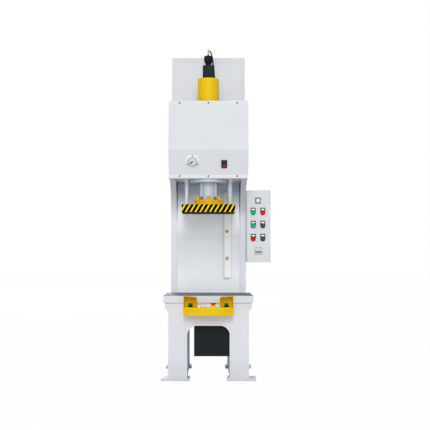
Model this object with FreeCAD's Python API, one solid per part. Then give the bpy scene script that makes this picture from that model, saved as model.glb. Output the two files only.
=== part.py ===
"""Single-column hydraulic press, in millimetres.

X runs to the right, Y into the depth (the operator stands at -Y) and Z up. The origin is the floor
point midway between the four anchor bolts. Depths are measured back from the front of the legs.
"""
import FreeCAD, Part
import math
import os

V = FreeCAD.Vector
X_AXIS = V(1, 0, 0)
Y_AXIS = V(0, 1, 0)
Z_AXIS = V(0, 0, 1)
MIRRORED = (-1, 1)

# ---------------------------------------------------------------- driving dimensions
frame_width = 537.0          # over the two side plates
base_depth = 853.0           # legs, front to rear
side_plate = 40.0
column_front = 500.0         # depth of the throat's back wall
axis_depth = 260.0           # depth of the cylinder axis
throat_radius = 270.0        # large fillet of the side plates under the head
head_front = 124.0           # depth of the head plates' front faces
bed_bottom = 470.0
table_top = 570.0
head_bottom = 1360.0
head_top = 1889.5
tank_height = 373.0

# base
pad_thickness = 20.0
pad_length = 130.0
pad_outside = 48.0
pad_inside = 16.0
anchor_hole = 22.0
front_plate = 25.0
rear_plate = 20.0
arch_width = 282.0
arch_top = 367.0
arch_radius = 62.0
inner_leg_plate = 12.0
bed_width = 579.0
bed_corner = 26.0
bed_edge = 2.0
table_width = 600.0
table_thickness = 51.0
table_overhang = 6.0
table_corner = 7.0
slot_width = 14.0
slot_neck = 14.0
slot_foot_width = 24.0
slot_foot_height = 11.0
slot_pitch = 120.0
slot_count = 3

# column
throat_plate_thickness = 20.0
back_plate = 12.0
access_width = 220.0
access_bottom = 620.0
access_height = 640.0
access_lap = 22.0
cover_sheet = 2.0
louvre_count = 9
louvre_pitch = 30.0
louvre_width = 180.0
louvre_depth = 9.0
shelf_top = 900.0
shelf_thickness = 12.0
shelf_gap = 51.0             # between the throat plate and the shelf

# head
head_bottom_plate_thickness = 50.0
head_top_plate_thickness = 40.0
crease_depth = 53.0          # foremost line of the prow-shaped cover
crease_height = 1549.0
cover_lip = 24.0             # vertical strip below the sloped lower face
cover_top_lip = 24.0
cover_lap = 60.0             # how far the cheeks reach back beside the side plates
screw_pitch = 196.0
screw_inset = 15.0
screw_head = 11.0
screw_head_height = 3.2
screw_socket = 3.5
screw_shank = 6.0
screw_depth = 18.0

# cylinder and slide
bore = 160.0
barrel_diameter = 200.0
barrel_flange_diameter = 256.0
barrel_flange = 24.0
flange_bolt_circle = 228.0
flange_bolt_count = 8
flange_bolt_head = 18.0
cap_diameter = 148.0
cap_height = 172.5
cap_round = 5.0
cap_spigot = 28.0
rod_diameter = 118.0
gland_length = 56.0
piston_length = 60.0
piston_spigot = 70.0
running_gap = 0.05           # radial, of the rods in their guides and the piston in its bore
seat_gap = 0.3
edge_reach = 0.1             # how near an edge lies to the level that picks it
travel_up = 70.0
travel_down = 330.0
slide_width = 364.0
slide_depth = 310.0
slide_thickness = 52.0
slide_bottom = 1130.0
slide_corner = 8.0
rod_flange_diameter = 206.0
rod_flange_top_diameter = 202.0
rod_flange_thickness = 32.0
rod_bolt_circle = 167.0
rod_bolt_count = 6
rod_bolt_head = 24.0
rod_bolt_head_height = 28.5
rod_bolt_shank = 14.0
rod_bolt_seat = 24.0
tool_hole = 12.0
tool_hole_depth = 26.0
tool_hole_x = 120.0
tool_hole_y = 100.0
guide_rod_diameter = 28.0
guide_rod_x = 150.0
guide_rod_reserve = 30.0     # left above the bushes with the slide all the way down
guide_rod_seat = 42.0
bush_flange_diameter = 40.0
bush_flange = 18.0
bush_diameter = 36.0
stroke_rod_diameter = 7.0
stroke_rod_x = 132.5
stroke_rod_depth = 395.0
stroke_rod_seat = 20.0
stroke_rod_clearance = 3.5

# tank
tank_width = 525.0
tank_sheet = 4.0
tank_rim = 24.0
tank_rim_height = 3.0
lid_thickness = 4.0
breather_diameter = 50.0
breather_height = 44.0
breather_neck = 30.0
flute_count = 12
flute_diameter = 6.0
breather_x = 150.0
breather_inset = 73.0        # from the rear of the tank

# valve on the cylinder cap and the lines to the tank
valve_left = 39.5            # of the block's left side from the axis
valve_right = 40.0           # of the top of its right side
valve_draft = 7.0            # by which the cast right side widens to its foot
valve_depth = 80.0
valve_height = 91.0
valve_corner = 9.0
valve_bore = 33.0
bonnet_diameter = 62.0       # black dome on the valve block, with a flared neck
bonnet_neck = 40.0
bonnet_neck_height = 17.0
bonnet_flare = 26.0
bonnet_rim = 26.0
bonnet_round = 1.5
hose_diameter = 22.0
hose_port_lean = 75.0
hose_port_length = 46.0
hose_port_spread = 0.05
hose_port_x = 12.0
hose_port_drop = 30.0        # below the top of the bonnet
hose_port_wall = 2.0
hose_first_run = 40.0
hose_crown_x = 17.0
hose_crown_rise = 4.0
hose_crown_inset = 72.0      # ahead of the tank socket
hose_end_x = 17.0
hose_end_drop = 26.0         # below the top of the tank
hose_last_run = 34.0
hose_socket_length = 14.0
hose_socket_wall = 4.0
cable_diameter = 9.0
lead_diameter = 8.0
lead_gland_rise = 3.0        # of the glands' tops above what they stand on
lead_port_height = 24.0      # of the glands on the terminal box above the tank
cable_gap = 2.0              # between the black lead and the bonnet that it passes
cable_end_x = 18.0
lead_x = -2.0
lead_end_x = -20.0
gland_nut = 13.0
gland_nut_length = 14.0
gland_sink = 10.0
gland_box_x = 0.0
gland_box_width = 90.0
gland_box_depth = 60.0
gland_box_height = 44.0
gland_box_inset = 108.0      # from the rear of the tank to the box's front

# gauge and dual switch on the sloped face of the cover
gauge_x = -108.4
gauge_height = 1471.6
gauge_flange_diameter = 93.0
gauge_flange = 4.0
gauge_flange_edge = 1.0      # of the flange at its rim, from where it slopes up to the case
gauge_case_diameter = 70.0
gauge_dial_diameter = 62.0
gauge_protrusion = 16.0
gauge_back = 24.0
gauge_dial_depth = 6.0
gauge_screw_circle = 84.0
gauge_screw = 7.0
gauge_screw_stand = 1.5      # of the screws above the flange
gauge_lens_thickness = 2.0
needle_length = 22.0
needle_root = 6.4            # width of the blade at the hub
needle_tip = 2.0
needle_hub = 9.0
needle_pin = 3.0
switch_x = 106.6
switch_height = 1454.0
switch_width = 38.0
switch_length = 56.0
switch_frame_depth = 6.0
switch_body_depth = 40.0
switch_button_width = 20.0
switch_button_length = 19.0
switch_button_pitch = 24.0
switch_travel = 3.0

# button box on the right of the column
box_left = 276.0
box_width = 165.0
box_bottom = 787.0
box_height = 514.0
box_front = 430.0
box_depth = 130.0
box_sheet = 2.0
box_rim = 10.0
door_thickness = 3.0
door_seal = 3.0
hinge_barrel = 6.0
hinge_pin = 2.5
hinge_segments = 5
hinge_gap = 0.6
spacer_height = 50.0
spacer_depth = 58.0
spacer_inset = 90.0
device_inset = 77.0          # of the middle of the devices from the box's left edge
device_pitch_x = 68.0
device_drops = (152.0, 245.0, 338.0)     # of the legend frames below the box's top
legend_width = 35.0          # frame with a straight top and a foot that is round about the button
legend_height = 54.0
legend_depth = 5.0
legend_corner = 3.0
legend_window_width = 24.0
legend_window_height = 11.0
legend_window_inset = 7.0    # below the top of the frame
legend_window_depth = 1.0
device_barrel = 22.0
device_body_width = 28.0
device_body_depth = 42.0
button_diameter = 28.0
button_height = 5.0
button_travel = 4.0
button_round = 2.0
button_stem = 16.0
well_gap = 0.3               # radial, of the buttons and their stems in the frames
selector_diameter = 28.0
selector_grip = 7.0
selector_height = 12.0
lamp_width = 42.0
lamp_tall = 45.0
lamp_lens = 34.0
lamp_lens_height = 3.0
lamp_drop = 74.0
counter_shift = 3.0          # to the right of the devices above
counter_width = 55.0
counter_tall = 55.0
counter_drop = 433.5
counter_depth = 7.0
panel_body_depth = 45.0

# two-hand box under the table edge
hand_width = 327.0
hand_bottom = 440.0
hand_top = 495.0
hand_end_depth = 100.0
hand_centre_depth = 150.0
hand_sheet = 3.0
hood_width = 87.0
hood_outer_top = 569.0
hood_inner_top = 561.0
hood_lean = 6.0
hood_depth = 88.0
table_clearance = 2.0
palm_x = 118.5
palm_depth = 55.0
palm_head = 30.0
palm_head_height = 13.0
palm_collar = 27.0
palm_collar_height = 11.0
palm_travel = 5.0
stop_x = 32.0
stop_head = 40.0
stop_head_height = 13.0
stop_collar = 42.0
stop_collar_height = 11.0
stop_stem = 12.0
stop_stem_length = 30.0
stop_travel = 3.0
button_gap = 0.4             # radial, of the buttons in their holes
dome_x = -34.0
dome_diameter = 40.0
dome_height = 16.0
button_line_depth = 70.0     # depth in front of the legs of the stop button and the dome

# black drive enclosure between the legs
drive_left = -97.0
drive_width = 215.0
drive_front = 60.0
drive_depth = 200.0
drive_bottom = 159.0
drive_height = 280.0
drive_corner = 3.0
drive_bracket_height = 200.0
drive_bracket_depth = 60.0
drive_bracket_sheet = 4.0

# sensor rail on the throat plate
rail_x = 133.5
rail_width = 47.0
rail_depth = 18.0
rail_bottom = 672.0
rail_top = 1300.0
rail_corner = 10.0
rail_sheet = 2.0
sensor_diameter = 24.0
sensor_heights = (1009.0, 817.0)
sensor_protrusion = 8.0

# motor and pump on the shelf inside the column
motor_diameter = 180.0
motor_fin_height = 9.0
motor_fin_count = 24
motor_length = 260.0
motor_flange_diameter = 200.0
motor_flange = 12.0
cowl_length = 60.0
bell_diameter = 130.0
bell_length = 90.0
pump_width = 90.0
pump_depth = 100.0
pump_length = 110.0
pump_port = 34.0
pump_port_height = 12.0
pump_port_drop = 66.0

# ---------------------------------------------------------------- derived places
half_width = frame_width / 2
inner_half = half_width - side_plate
rod_y = axis_depth - base_depth / 2
tank_top = head_top + tank_height
column_inside_front = column_front + throat_plate_thickness
column_inside_rear = base_depth - back_plate
valve_bottom = head_top + cap_height
valve_top = valve_bottom + valve_height
bonnet_top = valve_top + bonnet_neck_height + bonnet_flare + bonnet_rim
slide_top = slide_bottom + slide_thickness
barrel_bottom = head_bottom - barrel_flange
guide_rod_top = head_bottom + head_bottom_plate_thickness + travel_down + guide_rod_reserve
piston_top = head_top - cap_spigot - travel_up - 2 * seat_gap
door_back = box_front + door_thickness + door_seal
box_shell_front = door_back + seat_gap
box_right = box_left + box_width
hinge_x = box_right - hinge_barrel / 2
hinge_depth = box_front + hinge_barrel / 2
box_top = box_bottom + box_height
device_x = box_left + device_inset
counter_x = device_x + counter_shift
legend_drop = (legend_height - legend_width) / 2
device_rows = tuple(box_top - drop for drop in device_drops)
lamp_height = box_top - lamp_drop
counter_height = box_top - counter_drop
breather_depth = base_depth - breather_inset
gland_box_front = base_depth - gland_box_inset
motor_depth = (column_inside_front + column_inside_rear) / 2
hose_socket = column_front - hose_socket_length
screw_rows = (head_bottom + screw_inset, head_top - screw_inset)
screw_columns = (-screw_pitch, 0, screw_pitch)


def y_at(depth):
    """Y of a plane that lies this far behind the front of the legs."""
    return depth - base_depth / 2


def block(x0, x1, depth0, depth1, z0, z1):
    """Box between two X, two depths and two heights."""
    return Part.makeBox(x1 - x0, depth1 - depth0, z1 - z0, V(x0, y_at(depth0), z0))


def rod(diameter, length, foot, axis=Z_AXIS):
    return Part.makeCylinder(diameter / 2, length, foot, axis)


def ring(outer, inner, length, foot, axis=Z_AXIS):
    return rod(outer, length, foot, axis).cut(rod(inner, length, foot, axis))


def outline(corners, place):
    """Face of a closed outline. A corner is (u, v, radius), and its radius rounds it with an arc."""
    count = len(corners)
    edges = []
    ends = []
    for index, (u, v, radius) in enumerate(corners):
        here = V(u, v, 0)
        before = V(*corners[index - 1][:2], 0).sub(here).normalize()
        after = V(*corners[(index + 1) % count][:2], 0).sub(here).normalize()
        if radius == 0:
            ends.append((here, None, here))
            continue
        half = before.getAngle(after) / 2
        reach = radius / math.tan(half)
        inward = before.add(after).normalize()
        middle = here.add(inward.multiply(radius / math.sin(half) - radius))
        ends.append((here.add(before.multiply(reach)), middle, here.add(after.multiply(reach))))
    for index, (start, middle, end) in enumerate(ends):
        if middle is not None:
            points = [place(p.x, p.y) for p in (start, middle, end)]
            edges.append(Part.Arc(*points).toShape())
        onward = ends[(index + 1) % count][0]
        if end.distanceToPoint(onward) > 1e-6:
            edges.append(Part.LineSegment(place(end.x, end.y), place(onward.x, onward.y)).toShape())
    return Part.Face(Part.Wire(edges))


def side_profile(corners, x0, x1):
    """Prism along X from corners in depth and height."""
    face = outline(corners, lambda depth, z: V(x0, y_at(depth), z))
    return face.extrude(V(x1 - x0, 0, 0))


def front_profile(corners, depth0, depth1):
    """Prism along Y from corners in X and height."""
    face = outline(corners, lambda x, z: V(x, y_at(depth0), z))
    return face.extrude(V(0, depth1 - depth0, 0))


def plan_profile(corners, z0, z1):
    """Prism along Z from corners in X and depth."""
    face = outline(corners, lambda x, depth: V(x, y_at(depth), z0))
    return face.extrude(V(0, 0, z1 - z0))


def slab(x0, x1, z0, z1, depth0, depth1, radius):
    """Upright plate with four rounded corners."""
    corners = [(x0, z0, radius), (x1, z0, radius), (x1, z1, radius), (x0, z1, radius)]
    return front_profile(corners, depth0, depth1)


def fused(first, *others):
    for other in others:
        first = first.fuse(other)
    return first.removeSplitter()


def polar(count, diameter, centre, start=-90.0):
    """Points of a bolt circle about a vertical axis."""
    for step in range(count):
        angle = math.radians(start + 360.0 * step / count)
        yield centre.add(V(math.cos(angle), math.sin(angle), 0) * (diameter / 2))


def edges_above(solid, level):
    return [edge for edge in solid.Edges if edge.BoundBox.ZMin > level - edge_reach]


def edges_in_front(solid, y):
    return [edge for edge in solid.Edges if edge.BoundBox.YMax < y + edge_reach]


def upright_edges(solid, height):
    return [edge for edge in solid.Edges if abs(edge.BoundBox.ZLength - height) < edge_reach]


def mirror_x(shape):
    return shape.mirror(V(0, 0, 0), X_AXIS)


def hexagon(across_flats, height, foot, axis=Z_AXIS):
    """Hexagonal prism on an upright axis or, turned, on another one."""
    radius = across_flats / math.sqrt(3)
    turns = [math.pi / 3 * k for k in range(7)]
    points = [V(radius * math.cos(turn), radius * math.sin(turn), 0) for turn in turns]
    solid = Part.Face(Part.makePolygon(points)).extrude(V(0, 0, height))
    solid.Placement = FreeCAD.Placement(foot, FreeCAD.Rotation(Z_AXIS, axis))
    return solid


# ---------------------------------------------------------------- frame
def side_plate_solid(side):
    """C-shaped plate: leg, column and head in one flame-cut outline."""
    corners = [
        (front_plate, pad_thickness, 0),
        (front_plate, bed_bottom, 0),
        (column_front, bed_bottom, 0),
        (column_front, head_bottom, throat_radius),
        (head_front, head_bottom, 12),
        (head_front, head_top, 12),
        (base_depth, head_top, 12),
        (base_depth, pad_thickness, 0),
    ]
    inner = side * inner_half
    outer = side * half_width
    return side_profile(corners, min(inner, outer), max(inner, outer))


def throat_plate():
    return block(-inner_half, inner_half, column_front, column_inside_front, bed_bottom, head_bottom)


def column_back_plate():
    """Rear wall with the access opening, and the pump shelf welded to its inner face."""
    front = column_inside_rear
    wall = block(-inner_half, inner_half, front, base_depth, bed_bottom, head_top)
    access = slab(-access_width / 2, access_width / 2, access_bottom, access_bottom + access_height,
                  front, base_depth, 12)
    shelf = block(-inner_half, inner_half, column_inside_front + shelf_gap, front,
                  shelf_top - shelf_thickness, shelf_top)
    shelf = shelf.cut(rod(bell_diameter + 2 * seat_gap, shelf_thickness,
                          V(0, y_at(motor_depth), shelf_top - shelf_thickness)))
    return fused(wall.cut(access), shelf)


def rear_cover():
    """Bolted access cover with pressed louvres that open downward."""
    half = access_width / 2 + access_lap
    sheet = slab(-half, half, access_bottom - access_lap, access_bottom + access_height + access_lap,
                 base_depth, base_depth + cover_sheet, 8)
    first = access_bottom + access_height - louvre_count * louvre_pitch
    for row in range(louvre_count):
        foot = first + row * louvre_pitch
        back = base_depth + cover_sheet
        lip = [(back, foot, 0), (back + louvre_depth, foot, 0), (back, foot + 1.8 * louvre_depth, 0)]
        hood = side_profile(lip, -louvre_width / 2, louvre_width / 2)
        slot = block(-louvre_width / 2 + cover_sheet, louvre_width / 2 - cover_sheet,
                     base_depth, back + louvre_depth / 2, foot, foot + louvre_depth / 2)
        sheet = sheet.fuse(hood).cut(slot)
    return sheet.removeSplitter()


def head_plate(z0, thickness, holes, screw_height):
    """Cross plate of the head, bored for the cylinder, the listed holes and the cover's screws."""
    plate = block(-inner_half, inner_half, head_front, column_inside_rear, z0, z0 + thickness)
    plate = plate.cut(rod(barrel_diameter + 2 * seat_gap, thickness, V(0, rod_y, z0)))
    for diameter, x, depth in holes:
        plate = plate.cut(rod(diameter, thickness, V(x, y_at(depth), z0)))
    for x in screw_columns:
        mouth = V(x, y_at(head_front), screw_height)
        plate = plate.cut(rod(screw_shank + seat_gap, screw_depth, mouth, Y_AXIS))
    return plate


def bed_plate():
    """Thick plate on the legs, wider than they are, with rounded lower edges."""
    half = bed_width / 2
    top = table_top - table_thickness
    corners = [(-half, bed_bottom, bed_corner), (half, bed_bottom, bed_corner),
               (half, top, bed_edge), (-half, top, bed_edge)]
    return front_profile(corners, 0, column_front)


def slot_depths():
    """Depths of the T-slots' centre lines, about the cylinder axis."""
    return [axis_depth + (index - (slot_count - 1) / 2) * slot_pitch for index in range(slot_count)]


def table_plate():
    """Table plate with T-slots from side to side."""
    half = table_width / 2
    bottom = table_top - table_thickness
    corners = [(-half, bottom, table_corner), (half, bottom, table_corner),
               (half, table_top, table_corner), (-half, table_top, table_corner)]
    plate = front_profile(corners, -table_overhang, column_front)
    neck_foot = table_top - slot_neck
    for depth in slot_depths():
        tee = [(depth - slot_width / 2, table_top, 0), (depth - slot_width / 2, neck_foot, 0),
               (depth - slot_foot_width / 2, neck_foot, 0),
               (depth - slot_foot_width / 2, neck_foot - slot_foot_height, 0),
               (depth + slot_foot_width / 2, neck_foot - slot_foot_height, 0),
               (depth + slot_foot_width / 2, neck_foot, 0),
               (depth + slot_width / 2, neck_foot, 0), (depth + slot_width / 2, table_top, 0)]
        plate = plate.cut(side_profile(tee, -half, half))
    return plate


def arch_plate(half, depth0, depth1):
    """Base cross plate with the arch between the legs."""
    arch = arch_width / 2
    corners = [(-half, pad_thickness, 0), (-arch, pad_thickness, 0), (-arch, arch_top, arch_radius),
               (arch, arch_top, arch_radius), (arch, pad_thickness, 0), (half, pad_thickness, 0),
               (half, bed_bottom, 0), (-half, bed_bottom, 0)]
    return front_profile(corners, depth0, depth1)


def leg_inner_plates():
    """Two plates that close the legs into boxes."""
    inner = arch_width / 2
    plate = block(inner, inner + inner_leg_plate, front_plate, base_depth - rear_plate,
                  pad_thickness, bed_bottom)
    return Part.makeCompound([mirror_x(plate), plate])


def foot_pads():
    """Four pads under the legs, each with its anchor hole in the outer end."""
    pads = []
    inner = arch_width / 2 - pad_inside
    outer = half_width + pad_outside
    for depth in (0, base_depth - pad_length):
        pad = block(inner, outer, depth, depth + pad_length, 0, pad_thickness)
        pad = pad.cut(rod(anchor_hole, pad_thickness,
                          V(half_width + pad_outside / 2, y_at(depth + pad_length / 2), 0)))
        pads += [pad, mirror_x(pad)]
    return Part.makeCompound(pads)


# ---------------------------------------------------------------- tank
def oil_tank():
    """Open-topped tank with a raised rim round its front face and sockets for the return lines."""
    half = tank_width / 2
    top = tank_top - lid_thickness
    shell = block(-half, half, column_front, base_depth, head_top, top)
    shell = shell.cut(block(-half + tank_sheet, half - tank_sheet, column_front + tank_sheet,
                            base_depth - tank_sheet, head_top + tank_sheet, top))
    rim = block(-half, half, column_front - tank_rim_height, column_front, head_top, top)
    rim = rim.cut(block(-half + tank_rim, half - tank_rim, column_front - tank_rim_height, column_front,
                        head_top, top - tank_rim))
    for route in hose_routes():
        end = route[-1]
        socket = rod(hose_diameter + 2 * hose_socket_wall, hose_socket_length, end, Y_AXIS)
        rim = rim.fuse(socket)
    return fused(shell, rim)


def tank_lid():
    """Lid with the filler neck hole and the small terminal box of the level switch."""
    half = tank_width / 2
    bottom = tank_top - lid_thickness
    plate = block(-half, half, column_front - tank_rim_height, base_depth, bottom, tank_top)
    neck = V(breather_x, y_at(breather_depth), bottom)
    plate = plate.cut(rod(breather_neck, lid_thickness, neck))
    box = slab(gland_box_x - gland_box_width / 2, gland_box_x + gland_box_width / 2, tank_top,
               tank_top + gland_box_height, gland_box_front, gland_box_front + gland_box_depth, 6)
    plate = plate.fuse(box)
    for route in (cable_route(), lead_route()):
        end = route[-1]
        plate = plate.fuse(hexagon(gland_nut, y_at(gland_box_front) - end.y, end, Y_AXIS))
    return plate.removeSplitter()


def breather_cap():
    """Turned cap with a knurled skirt of shallow flutes and a spigot in the lid."""
    centre = V(breather_x, y_at(breather_depth), tank_top)
    cap = rod(breather_diameter, breather_height, centre)
    cap = cap.makeFillet(5, edges_above(cap, tank_top + breather_height))
    for foot in polar(flute_count, breather_diameter + flute_diameter / 2, centre):
        cap = cap.cut(rod(flute_diameter, breather_height - 8, foot))
    spigot = rod(breather_neck - seat_gap, lid_thickness, centre.sub(V(0, 0, lid_thickness)))
    return fused(cap, spigot)


# ---------------------------------------------------------------- cylinder
def cylinder_barrel():
    """Flanged barrel hung from below in the head, with its socket-head bolts in counterbores."""
    foot = V(0, rod_y, barrel_bottom)
    barrel = rod(barrel_diameter, head_top - barrel_bottom, foot)
    flange = rod(barrel_flange_diameter, barrel_flange, foot)
    barrel = barrel.fuse(flange).cut(rod(bore, head_top - barrel_bottom, foot))
    for point in polar(flange_bolt_count, flange_bolt_circle, foot, start=-67.5):
        recess = rod(flange_bolt_head, 12, point)
        head = rod(flange_bolt_head - 2, 10, point.add(V(0, 0, 2)))
        barrel = barrel.cut(recess.cut(head.cut(hexagon(8, 5, point.add(V(0, 0, 2))))))
    return barrel


def cylinder_cap():
    """Round cap with a turned edge, screwed into the top of the barrel by its spigot."""
    foot = V(0, rod_y, head_top)
    cap = rod(cap_diameter, cap_height, foot)
    cap = cap.makeFillet(cap_round, edges_above(cap, valve_bottom))
    spigot = rod(bore - seat_gap, cap_spigot, foot.sub(V(0, 0, cap_spigot)))
    port = rod(valve_bore, cap_height + cap_spigot, foot.sub(V(0, 0, cap_spigot)))
    return fused(cap, spigot).cut(port)


def rod_gland():
    """Bronze guide in the foot of the barrel, with two seal grooves round the rod."""
    foot = V(0, rod_y, barrel_bottom)
    gland = ring(bore - seat_gap, rod_diameter + 2 * running_gap, gland_length, foot)
    for height in (14, 34):
        gland = gland.cut(ring(rod_diameter + 9, rod_diameter, 6, foot.add(V(0, 0, height))))
    return gland


def piston():
    """Piston with two ring grooves, bored for the rod's spigot."""
    foot = V(0, rod_y, piston_top - piston_length)
    body = ring(bore - 2 * running_gap, piston_spigot, piston_length, foot)
    for height in (14, 38):
        body = body.cut(ring(bore, bore - 9, 8, foot.add(V(0, 0, height))))
    return body


def piston_rod():
    foot = V(0, rod_y, slide_top)
    shoulder = piston_top - piston_length
    shaft = rod(rod_diameter, shoulder - slide_top, foot)
    spigot = rod(piston_spigot - seat_gap, piston_length, V(0, rod_y, shoulder))
    return fused(shaft, spigot)


def rod_flange():
    """Tapered flange that clamps the rod's foot to the slide plate."""
    foot = V(0, rod_y, slide_top)
    flange = Part.makeCone(rod_flange_diameter / 2, rod_flange_top_diameter / 2, rod_flange_thickness, foot)
    flange = flange.cut(rod(rod_diameter, rod_flange_thickness, foot))
    for point in polar(rod_bolt_count, rod_bolt_circle, foot):
        flange = flange.cut(rod(rod_bolt_shank + seat_gap, rod_flange_thickness, point))
    return flange


def rod_flange_bolts():
    """Six socket-head bolts through the flange into the slide plate."""
    bolts = []
    top = slide_top + rod_flange_thickness
    for point in polar(rod_bolt_count, rod_bolt_circle, V(0, rod_y, top)):
        head = rod(rod_bolt_head, rod_bolt_head_height, point)
        head = head.cut(hexagon(12, 10, point.add(V(0, 0, rod_bolt_head_height - 10))))
        reach = rod_flange_thickness + rod_bolt_seat
        shank = rod(rod_bolt_shank, reach, point.sub(V(0, 0, reach)))
        bolts.append(fused(head, shank))
    return Part.makeCompound(bolts)


def slide_plate():
    """Guided plate with bores for the rods and four tapped tool holes in its underside."""
    half = slide_width / 2
    near = axis_depth - slide_depth / 2
    far = axis_depth + slide_depth / 2
    corners = [(-half, near, slide_corner), (half, near, slide_corner),
               (half, far, slide_corner), (-half, far, slide_corner)]
    plate = plan_profile(corners, slide_bottom, slide_top)
    for side in MIRRORED:
        plate = plate.cut(rod(guide_rod_diameter, guide_rod_seat,
                              V(side * guide_rod_x, rod_y, slide_top - guide_rod_seat)))
        for row in MIRRORED:
            plate = plate.cut(rod(tool_hole, tool_hole_depth,
                                  V(side * tool_hole_x, rod_y + row * tool_hole_y, slide_bottom)))
    for point in polar(rod_bolt_count, rod_bolt_circle, V(0, rod_y, slide_top - rod_bolt_seat)):
        plate = plate.cut(rod(rod_bolt_shank, rod_bolt_seat, point))
    return plate.cut(rod(stroke_rod_diameter, stroke_rod_seat,
                         V(stroke_rod_x, y_at(stroke_rod_depth), slide_top - stroke_rod_seat)))


def guide_rods():
    rods = []
    foot = slide_top - guide_rod_seat
    for side in MIRRORED:
        shaft = rod(guide_rod_diameter, guide_rod_top - foot, V(side * guide_rod_x, rod_y, foot))
        shaft = shaft.makeChamfer(2, edges_above(shaft, guide_rod_top))
        rods.append(shaft)
    return Part.makeCompound(rods)


def guide_bushes():
    """Flanged bronze bushes in the head's bottom plate."""
    bushes = []
    for side in MIRRORED:
        foot = V(side * guide_rod_x, rod_y, head_bottom - bush_flange)
        flange = rod(bush_flange_diameter, bush_flange, foot)
        sleeve = rod(bush_diameter, head_bottom_plate_thickness, foot.add(V(0, 0, bush_flange)))
        hole = rod(guide_rod_diameter + 2 * running_gap, bush_flange + head_bottom_plate_thickness, foot)
        bushes.append(fused(flange, sleeve).cut(hole))
    return Part.makeCompound(bushes)


def stroke_rod():
    """Thin rod that carries the slide's travel marks up into the head."""
    foot = slide_top - stroke_rod_seat
    return rod(stroke_rod_diameter, guide_rod_top - foot, V(stroke_rod_x, y_at(stroke_rod_depth), foot))


# ---------------------------------------------------------------- head cover and what it carries
def cover_line(shift):
    """Corners of the cover's front line in depth and height, moved back by shift."""
    lip = head_front - cover_sheet
    return [(lip + shift, head_bottom, 0), (lip + shift, head_bottom + cover_lip, 0),
            (crease_depth + shift, crease_height, 0), (lip + shift, head_top - cover_top_lip, 0),
            (lip + shift, head_top, 0)]


def slope_frame(height):
    """Point at this height on the cover's sloped lower face and the outward normal there."""
    low = V(0, y_at(head_front - cover_sheet), head_bottom + cover_lip)
    high = V(0, y_at(crease_depth), crease_height)
    along = high.sub(low)
    point = low.add(along * ((height - low.z) / along.z))
    normal = V(0, -along.z, along.y).normalize()
    return point, normal


def head_cover():
    """Folded sheet with a prow: leaning upper face, sloped lower face, lips and two cheeks."""
    back = head_front + cover_lap
    outer_half = half_width + cover_sheet
    rear = [(back, head_top, 0), (back, head_bottom, 0)]
    cover = side_profile(cover_line(0) + rear, -outer_half, outer_half)
    cover = cover.cut(side_profile(cover_line(cover_sheet) + rear, -half_width, half_width))
    point, normal = slope_frame(gauge_height)
    inward = normal.negative()
    hole_start = V(gauge_x, point.y, point.z).add(normal * 10)
    cover = cover.cut(rod(gauge_case_diameter - 6, 20, hole_start, inward))
    cover = cover.cut(switch_block(switch_width - 8, switch_length - 8, -20, 10))
    for height in screw_rows:
        for x in screw_columns:
            cover = cover.cut(rod(screw_shank + seat_gap, 10, V(x, y_at(head_front - 6), height), Y_AXIS))
    return cover


def cover_screws():
    """Six pan-head screws that hold the cover's lips to the head plates."""
    screws = []
    for height in screw_rows:
        for x in screw_columns:
            seat = V(x, y_at(head_front - cover_sheet), height)
            head = rod(screw_head, screw_head_height, seat, Y_AXIS.negative())
            head = head.makeFillet(1.5, edges_in_front(head, seat.y - screw_head_height))
            head = head.cut(hexagon(screw_socket, 2, seat.sub(V(0, screw_head_height, 0)), Y_AXIS))
            screws.append(fused(head, rod(screw_shank, screw_depth - 2, seat, Y_AXIS)))
    return Part.makeCompound(screws)


def on_slope(shape, x, height):
    """Moves a shape built on the XY plane onto the sloped face, its Z along the outward normal."""
    point, normal = slope_frame(height)
    matrix = FreeCAD.Matrix()
    across = X_AXIS
    upward = normal.cross(across)
    matrix.A11, matrix.A21, matrix.A31 = across.x, across.y, across.z
    matrix.A12, matrix.A22, matrix.A32 = upward.x, upward.y, upward.z
    matrix.A13, matrix.A23, matrix.A33 = normal.x, normal.y, normal.z
    matrix.A14, matrix.A24, matrix.A34 = x, point.y, point.z
    moved = shape.copy()
    moved.Placement = FreeCAD.Placement(matrix).multiply(shape.Placement)
    return moved


def switch_block(width, length, low, high):
    """Box on the sloped face about the switch's centre, from low to high along the normal."""
    local = Part.makeBox(width, length, high - low, V(-width / 2, -length / 2, low))
    return on_slope(local, switch_x, switch_height)


def gauge_case():
    """Flanged case with a dial floor, three flange screws and the hub pin of the needle."""
    slope_foot = V(0, 0, gauge_flange_edge)
    flange = rod(gauge_flange_diameter, gauge_flange_edge, V(0, 0, 0))
    flange = flange.fuse(Part.makeCone(gauge_flange_diameter / 2, gauge_case_diameter / 2,
                                       gauge_flange - gauge_flange_edge, slope_foot))
    case = rod(gauge_case_diameter, gauge_protrusion, V(0, 0, 0))
    case = case.makeFillet(3, edges_above(case, gauge_protrusion))
    back = rod(gauge_case_diameter - 8, gauge_back, V(0, 0, -gauge_back))
    well = rod(gauge_dial_diameter, gauge_dial_depth + gauge_lens_thickness,
               V(0, 0, gauge_protrusion - gauge_dial_depth - gauge_lens_thickness))
    case = fused(flange, case, back).cut(well)
    floor = gauge_protrusion - gauge_dial_depth - gauge_lens_thickness
    for angle in (90, 210, 330):
        x = gauge_screw_circle / 2 * math.cos(math.radians(angle))
        y = gauge_screw_circle / 2 * math.sin(math.radians(angle))
        case = case.fuse(rod(gauge_screw, gauge_flange + gauge_screw_stand, V(x, y, 0)))
    case = case.fuse(rod(needle_pin, 3, V(0, 0, floor)))
    return on_slope(case.removeSplitter(), gauge_x, gauge_height)


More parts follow.
